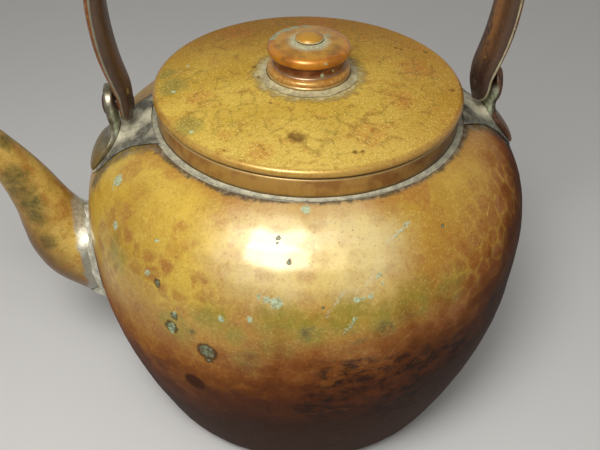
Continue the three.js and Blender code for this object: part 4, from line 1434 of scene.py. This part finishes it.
def speckledLid():
    f = Finish("speckledLid", coatRoughness=0.22, specularIorLevel=0.12)
    place = f.place()
    x, y, z = place.parts("XYZ")
    shaken = f.ragged(place, 1.4, 0.8)
    broadly = f.ragged(place, 8.0, 4.5)
    broad, middling, small, grain = f.clouds(place, (24, 4), (6, 5, 0.62), (1.5, 4), (0.6, 3, 0.75))
    edge = f.attribute("flatEdge")
    tone = f.attribute("flatTone")
    f.color = f.blend(broad.rise(0.36, 0.62), "#c29b33", "#d6b44c")
    # painted light brightens the lid's front; painted shade darkens its back, far back and right side
    paintedFrontLight = (y + 16 * (middling - 0.5) + 14 * (broad - 0.5)).fall(-52, -18)
    f.lay(paintedFrontLight * 0.5, "#e0c065")
    back = (y + 14 * (middling - 0.5) + 14 * (broad - 0.5)).rise(-8, 44)
    f.lay(back * 0.8, "#a06c1a")
    f.lay((y + 20 * (middling - 0.5)).rise(20, 58) * 0.6, "#8b571b")
    f.lay((x + 20 * (broad - 0.5)).rise(4, 54) * 0.5, "#a66c1a")
    f.lay(middling.rise(0.48, 0.66) * 0.45, "#b0702a")
    f.lay(small.rise(0.5, 0.66) * 0.25, tones["olive"])
    oranges = f.near(broadly, lidMarks["orange"]).fall(0.3, 1.2)
    f.lay(oranges * (0.3 + 1.6 * (small - 0.45)), "#b5642a")
    olives = f.near(broadly, lidMarks["olive"]).fall(0.4, 1.2)
    f.lay(olives * 0.6, "#7c7a3a")
    # faint lines where flats meet, broken up by clouds
    crackle = edge.rise(0.72, 0.98) * (middling + 0.3 * (tone - 0.5)).rise(0.44, 0.6)
    f.lay(crackle * 0.4, "#6b5a1e")
    # grain: dark specks, orange flecks and bright sparkles
    f.lay(grain.fall(0.32, 0.48) * 0.5, "#80561a")
    f.lay(grain.rise(0.52, 0.7) * 0.45, "#e6c763")
    fleck = f.cells(shaken, 1.7).fall(0.06, 0.22) * small.rise(0.44, 0.6)
    f.lay(fleck * 0.5, "#8e4a1d")
    spark = f.cells(place, 1.0).fall(0.1, 0.28) * grain.rise(0.36, 0.52) * (1 - 0.6 * back)
    f.lay(spark * 0.8, "#f4e28c")
    # the rolled edge is worn, and painted shade darkens its underside
    radius = fromAxis(place)
    rim = (radius + 0.9 * (small - 0.5) + 0.8 * (middling - 0.5)).rise(52.8, 54.4)
    f.lay(rim * 0.45, "#a0662a")
    f.lay(z.fall(132.9, 133.7), tones["umber"])
    # smeared solder and soot round the knob
    ring = radius - 6 * (middling - 0.5) - 4 * (small - 0.5)
    f.lay(ring.rise(16.0, 18.0) * ring.fall(18.4, 22.0) * 0.5, "#5d4f33")
    bloom = ring.fall(16.4, 20.2)
    f.lay(bloom * 0.7, f.blend(small.rise(0.38, 0.6), "#a89d70", "#cdc395"))
    scab = f.near(shaken, lidMarks["scab"]).fall(0.45, 1.3) * (0.4 + 1.2 * (grain - 0.2))
    f.lay(scab * 0.85, tones["umber"])
    crust = f.near(shaken, lidMarks["green"]).fall(0.6, 1.15)
    f.lay(crust * 0.9, tones["verdigris"])
    dull = (crust + 0.6 * scab + 0.8 * bloom).least(1.0)
    return f.done(0.03 * grain + 0.03 * small + 0.08 * crust + 0.04 * bloom,
                  metallic=0.18 + 0.15 * rim - 0.15 * dull,
                  roughness=0.46 + 0.1 * small + 0.1 * grain - 0.2 * rim + 0.15 * dull,
                  coatWeight=0.06 + 0.6 * rim - 0.06 * dull)


def brownCollar():
    f = Finish("brownCollar", coatRoughness=0.22, specularIorLevel=0.35)
    place = f.place()
    x, z = place.parts("XZ")
    middling, small = f.clouds(place, (7, 4), (1.6, 4))
    upright = f.cloud(place.moved("MULTIPLY", (1, 1, 0.12)), 0.8, 3)
    f.color = f.blend(middling.rise(0.4, 0.65), "#b98e45", "#9c6b30")
    f.lay(upright.rise(0.5, 0.68) * 0.1, "#5f3a1a")
    # painted shade darkens the collar on the side away from the spout
    f.lay((x + 20 * (middling - 0.5)).rise(6, 50) * 0.85, tones["umber"])
    # a greyed foot beside the solder, and a worn top
    f.lay((z + 1.0 * (small - 0.5)).fall(125.7, 126.6) * 0.6, "#54452c")
    f.lay((z + 0.4 * (small - 0.5)).rise(131.3, 131.9) * 0.8, "#c7a566")
    return f.done(0.06 * middling + 0.03 * small,
                  metallic=0.4,
                  roughness=0.3 + 0.14 * small,
                  coatWeight=0.3)


knobMarks = {
    "stain": [(-9.5, -9.9, 150.6, 3.0), (-11, -3, 150.8, 2.4), (8, -5.9, 151, 2.6), (6, -9, 151, 2.2),
              (-4, -11, 151, 1.6)],
    "verdigris": [(-12.3, 4.5, 150.6, 2.0), (-10.5, 7.5, 150.6, 2.0), (-7.2, 10, 150.6, 2.2),
                  (-3.5, 11.5, 150.6, 1.9), (0.6, 12.2, 150.4, 1.6), (7, 3, 151, 1.2),
                  (3.5, -13.6, 149, 0.7)],
    "neck": [(3, -12.8, 144, 0.9), (7, -11, 144.6, 0.8)],
}


def knobCopper():
    f = Finish("knobCopper", coatRoughness=0.14, specularIorLevel=0.2)
    place = f.place()
    x, y, z = place.parts("XYZ")
    middling, small, grain = f.clouds(place, (5, 4), (1.3, 4), (0.5, 3))
    radius = fromAxis(place)
    f.color = f.blend(middling.rise(0.4, 0.65), "#c58227", "#a8661c")
    # the cap's face is duller and yellower than its rim
    face = (radius + 1.6 * (small - 0.5) + 1.2 * (middling - 0.5)).fall(10.6, 13.4) * z.rise(149.6, 150.4)
    mustard = f.blend(middling.rise(0.38, 0.62), "#ba8c32", "#a2742a")
    f.lay(face * 0.8, mustard)
    stain = f.near(f.ragged(place, 2.4, 1.6), knobMarks["stain"]).fall(0.35, 1.15)
    f.lay(stain * (0.2 + 1.2 * (small - 0.4)), "#5a4420")
    # pale salts round the rivet, verdigris on the far rim
    wobble = radius + 1.8 * (small - 0.5) + 1.4 * (middling - 0.5)
    ring = wobble.rise(4.2, 5.0) * (wobble + 0.14 * y + 0.05 * x).fall(5.2, 8.4)
    ring = ring * z.rise(149.8, 150.6) * z.fall(151.9, 152.5)
    f.lay(ring * 0.85, f.blend(grain.rise(0.4, 0.6), "#9aa286", "#c9c8a6"))
    crust = f.near(f.ragged(place, 1.3, 1.0), knobMarks["verdigris"]).fall(0.6, 1.2)
    crust = crust * (0.5 + 1.4 * (grain - 0.3))
    f.lay(crust * 0.9, f.blend(grain.rise(0.4, 0.6), "#5f7d68", "#a3b898"))
    # the base ring is paler, and grey at its foot
    low = z.fall(142.4, 142.9)
    f.lay(low * 0.7, f.blend(small.rise(0.42, 0.62), "#b3823a", "#caa45e"))
    foot = (z + 0.8 * (small - 0.5)).fall(139.8, 141.2)
    f.lay(foot * 0.7, "#a89565")
    dull = (crust + ring * 0.7 + face * 0.3).least(1.0)
    return f.done(0.03 * small + 0.08 * crust + 0.06 * ring,
                  metallic=0.3 - 0.2 * dull,
                  roughness=0.3 + 0.1 * small + 0.2 * dull,
                  coatWeight=0.5 - 0.4 * dull)


def knobNeckCopper():
    f = Finish("knobNeckCopper", coatRoughness=0.2, specularIorLevel=0.35)
    place = f.place()
    z = place.parts("Z")[0]
    small, middling = f.clouds(place, (1.4, 4), (4, 4))
    f.color = f.blend(middling.rise(0.4, 0.65), "#6f3d28", "#966548")
    f.lay((z + 1.2 * (small - 0.5)).fall(142.9, 144.4) * 0.7, "#a68a6c")
    # painted shade under the cap's overhang, in the soot tone
    f.lay(z.rise(145.4, 146.3) * 0.7, tones["soot"])
    crust = f.near(f.ragged(place, 1.3, 0.8), knobMarks["neck"]).fall(0.6, 1.15)
    f.lay(crust, tones["verdigris"])
    return f.done(0.04 * small,
                  metallic=0.55 - 0.4 * crust,
                  roughness=0.3 + 0.15 * small,
                  coatWeight=0.3)


def paleSolder(name, light, dark, stain):
    f = Finish(name, specularIorLevel=0.4)
    place = f.place()
    middling, small = f.clouds(place, (3.2, 5, 0.65), (0.8, 4, 0.7))
    f.color = f.blend(middling.rise(0.36, 0.66), light, dark)
    f.lay(small.rise(0.55, 0.72) * 0.5, stain)
    return f.done(0.16 * middling + 0.1 * small,
                  metallic=0.2 + 0.2 * (1 - middling),
                  roughness=0.5 + 0.25 * small)


def creamyWeb():
    f = Finish("creamyWeb", specularIorLevel=0.4)
    place = f.place()
    z = place.parts("Z")[0]
    middling, small, grain = f.clouds(place, (4.2, 5, 0.62), (1.2, 4, 0.65), (0.5, 3))
    f.color = f.blend(middling.rise(0.42, 0.68), "#d3cbad", "#a09b84")
    f.lay(small.rise(0.56, 0.74) * 0.35, "#7c7a6b")
    # darker behind the bail's foot, and sooty outwards
    f.lay((z + 1.4 * (small - 0.5)).rise(126.2, 127.6) * 0.4, "#6f6e5f")
    sooty = (byEars(f, place) * (1.0 + 1.4 * (small - 0.5))).least(1.0)
    f.lay(sooty * 0.9, f.blend(middling.rise(0.45, 0.65) * 0.6, tones["lead"], tones["ash"]))
    return f.done(0.16 * middling + 0.1 * small + 0.05 * grain,
                  metallic=0.2,
                  roughness=0.5 + 0.2 * small)


def earBronze():
    f = Finish("earBronze", coatRoughness=0.2, specularIorLevel=0.3)
    place = f.place()
    x, y, z = place.parts("XYZ")
    middling, small = f.clouds(place, (4, 4), (1.2, 4))
    side = x.rise(-20, 20)
    left = f.blend(middling.rise(0.38, 0.62), "#928c78", "#6b6450")
    right = f.blend(middling.rise(0.38, 0.62), "#6f4f3a", "#4e3a30")
    f.color = f.blend(side, left, right)
    # olive leaf, with a painted golden highlight along its lower edge
    leaf = z.fall(113, 121)
    f.lay(leaf * 0.85, f.blend(side, "#857341", "#5a3b26"))
    off = fromAxis(place)
    leafGlint = ((off - 0.55 * (132 - z) + 1.6 * (small - 0.5)).rise(65.6, 67.2) * leaf).least(1.0)
    low = (z + 0.5 * y.size() + 2 * (small - 0.5)).fall(108.5, 112.0)
    f.lay((low * 0.8).most(leafGlint * 0.3), f.blend(side, "#bd8f3c", "#a56e32"))
    # green salts inside the lobe, down to the waist
    near = (x.size() + 0.5 * (small - 0.5)).fall(68.9, 69.9)
    green = near * z.rise(117, 121) * (z + 1.5 * (small - 0.5)).fall(131, 134)
    f.lay(green * 0.8, f.blend(small.rise(0.42, 0.6), "#8f9d82", "#c0c4a2"))
    flecks = middling.rise(0.58, 0.7) * 0.4
    f.lay(flecks, "#8a9c82")
    return f.done(0.08 * middling + 0.04 * small,
                  metallic=0.75 - 0.55 * green - 0.2 * flecks,
                  roughness=0.3 + 0.15 * small + 0.2 * green,
                  coatWeight=0.2)


wornSpots = [(-62.2, -5, 138, 1.4), (63.5, -4.4, 149.6, 0.9), (63.5, -3, 142.4, 0.7), (-64, -2.4, 132, 1.6)]


def umberStrip():
    f = Finish("umberStrip", coatRoughness=0.24, specularIorLevel=0.35)
    place = f.place()
    x, y, z = place.parts("XYZ")
    broad = f.cloud(place.moved("MULTIPLY", (1, 1, 0.4)), 9, 4, 0.6)
    small = f.cloud(place, 1.5, 5, 0.65)
    grain = f.cloud(place.moved("MULTIPLY", (1, 1, 0.2)), 0.7, 3)
    f.color = f.blend(broad.rise(0.36, 0.62), "#3f2b22", "#5c4130")
    f.lay(small.rise(0.52, 0.68) * 0.45, "#7a5a3c")
    # painted sheen: the crowned middle paler, more so on the far leg
    side = x.rise(-30, 30)
    middle = y.size().fall(1.0, 5.6) * (broad + 0.5 * (small - 0.5)).rise(0.4, 0.58) * z.rise(137, 150)
    sheenTone = f.blend(side, "#70503a", "#9c6a33")
    f.lay(middle * (0.45 + 0.45 * side), sheenTone)
    # painted shade darkens the strip towards its edges
    wall = y.size().rise(6.3, 7.5)
    f.lay(wall * 0.4, "#564a40")
    gold = f.near(f.ragged(place, 2, 1.0), wornSpots).fall(0.4, 1.1)
    f.lay(gold * 0.75, "#b59648")
    return f.done(0.1 * small + 0.04 * grain,
                  metallic=0.35,
                  roughness=0.36 + 0.2 * small + 0.08 * grain,
                  coatWeight=0.2)


def orangeShell():
    f = Finish("orangeShell", coatRoughness=0.2, specularIorLevel=0.35)
    place = f.place()
    x, z = place.parts("XZ")
    broad = f.cloud(place.moved("MULTIPLY", (1, 1, 0.5)), 8, 4, 0.6)
    small, grain = f.clouds(place, (1.3, 5, 0.65), (0.6, 3))
    f.color = f.blend(broad.rise(0.36, 0.62), "#95592a", "#6b4023")
    f.lay(small.rise(0.52, 0.68) * 0.5, "#a26a33")
    # yellow sparkles where it is rubbed
    rubbed = (z - 0.3 * x).rise(160, 190) * small.rise(0.52, 0.62) * grain.rise(0.48, 0.62)
    f.lay(rubbed * 0.6, "#dfb24e")
    return f.done(0.08 * small,
                  metallic=0.6,
                  roughness=0.3 + 0.2 * small,
                  coatWeight=0.25)


def seamBead():
    f = Finish("seamBead", specularIorLevel=0.4)
    place = f.place()
    x = place.parts("X")[0]
    broad, small = f.clouds(place, (6, 4, 0.6), (1.1, 4, 0.7))
    pale = f.blend(x.rise(-30, 30), "#85806f", "#b5ac8c")
    f.color = f.blend((broad + 0.5 * (small - 0.5)).rise(0.5, 0.66) * 0.6, pale, "#6b5240")
    return f.done(0.1 * small,
                  metallic=0.35,
                  roughness=0.4 + 0.2 * small)


# Setting: a pale floor, a pale surround and soft lamps
setting = {
    "floor": 3.0,  # radius in metres
    "floorTone": "#dfddd9",
    "lamps": [
        # name, place, what it points at, size in metres and watts
        ("keyByCamera", (-103.8, -201.3, 406.5), (-19, -66, 117), 0.13, 0.66),
        ("skirtByCamera", (-100, -205, 408), (-19, -66, 117), 0.28, 0.5),
        ("softAbove", (-275, -475, 993), (0, 0, 110), 0.7, 1.1),
    ],
    "surround": "#e6e5e2",
    "seen": 0.55,
    "light": 0.32,
}


def makeSetting():
    world = bpy.data.worlds.new("paleSurround")
    tree = Tree(world)
    bpy.context.scene.world = world
    rays = [tree.add("ShaderNodeLightPath", {}, {}, name)
            for name in ("Is Camera Ray", "Is Glossy Ray", "Is Transmission Ray")]
    # brighter where it is seen, itself or in the metal, than as light
    ends = {"Value": reduce(Tap.most, rays), "To Min": setting["light"], "To Max": setting["seen"]}
    back = tree.first("BACKGROUND")
    tree.join(back.inputs["Color"], setting["surround"])
    tree.join(back.inputs["Strength"], tree.add("ShaderNodeMapRange", {}, ends, "Result"))

    floorFinish = Finish("paleFloor", baseColor=setting["floorTone"], roughness=0.9)
    rings = turned([(setting["floor"] * metre, 0), (1, 0)], 96)
    floor = madeSkin("paleFloor", rings, floorFinish, poles=(False, True))
    floor.data.flip_normals()
    floor.location.z = -0.0002

    for name, place, aim, size, power in setting["lamps"]:
        light = bpy.data.lights.new(name, "AREA")
        light.shape = "DISK"
        light.size = size
        light.energy = power
        holder = bpy.data.objects.new(name, light)
        bpy.context.scene.collection.objects.link(holder)
        holder.location = Vector(place) / metre
        holder.rotation_euler = (Vector(aim) - Vector(place)).to_track_quat("-Z", "Y").to_euler()

    bpy.context.scene.view_settings.view_transform = "Standard"


makeSetting()
print("setting made")

makeBody(goldenBody())
makeSpout(goldenSpout())
makeSpoutSolder(paleSolder("spoutSolder", "#dedac6", "#a8a490", tones["ash"]))
print("body and spout made")

strip = umberStrip()
makeCollar(brownCollar())
makeNeckSolder(paleSolder("neckSolder", "#b7b297", "#918d7b", tones["lead"]))
makeLid(speckledLid())
knobGrey = paleSolder("knobSolder", "#cbbf92", "#a39670", "#83764f")
makeKnob(knobCopper(), knobNeckCopper(), knobGrey)
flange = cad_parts["lid_flange"]
flange.data.materials.clear()
flange.data.materials.append(strip.material)
print("collar, lid and knob made")

makeEars(earBronze())
makeWebs(creamyWeb())
makePivots(strip)
makeBail(orangeShell(), strip)
makeBead(seamBead())
print("ears and bail made")
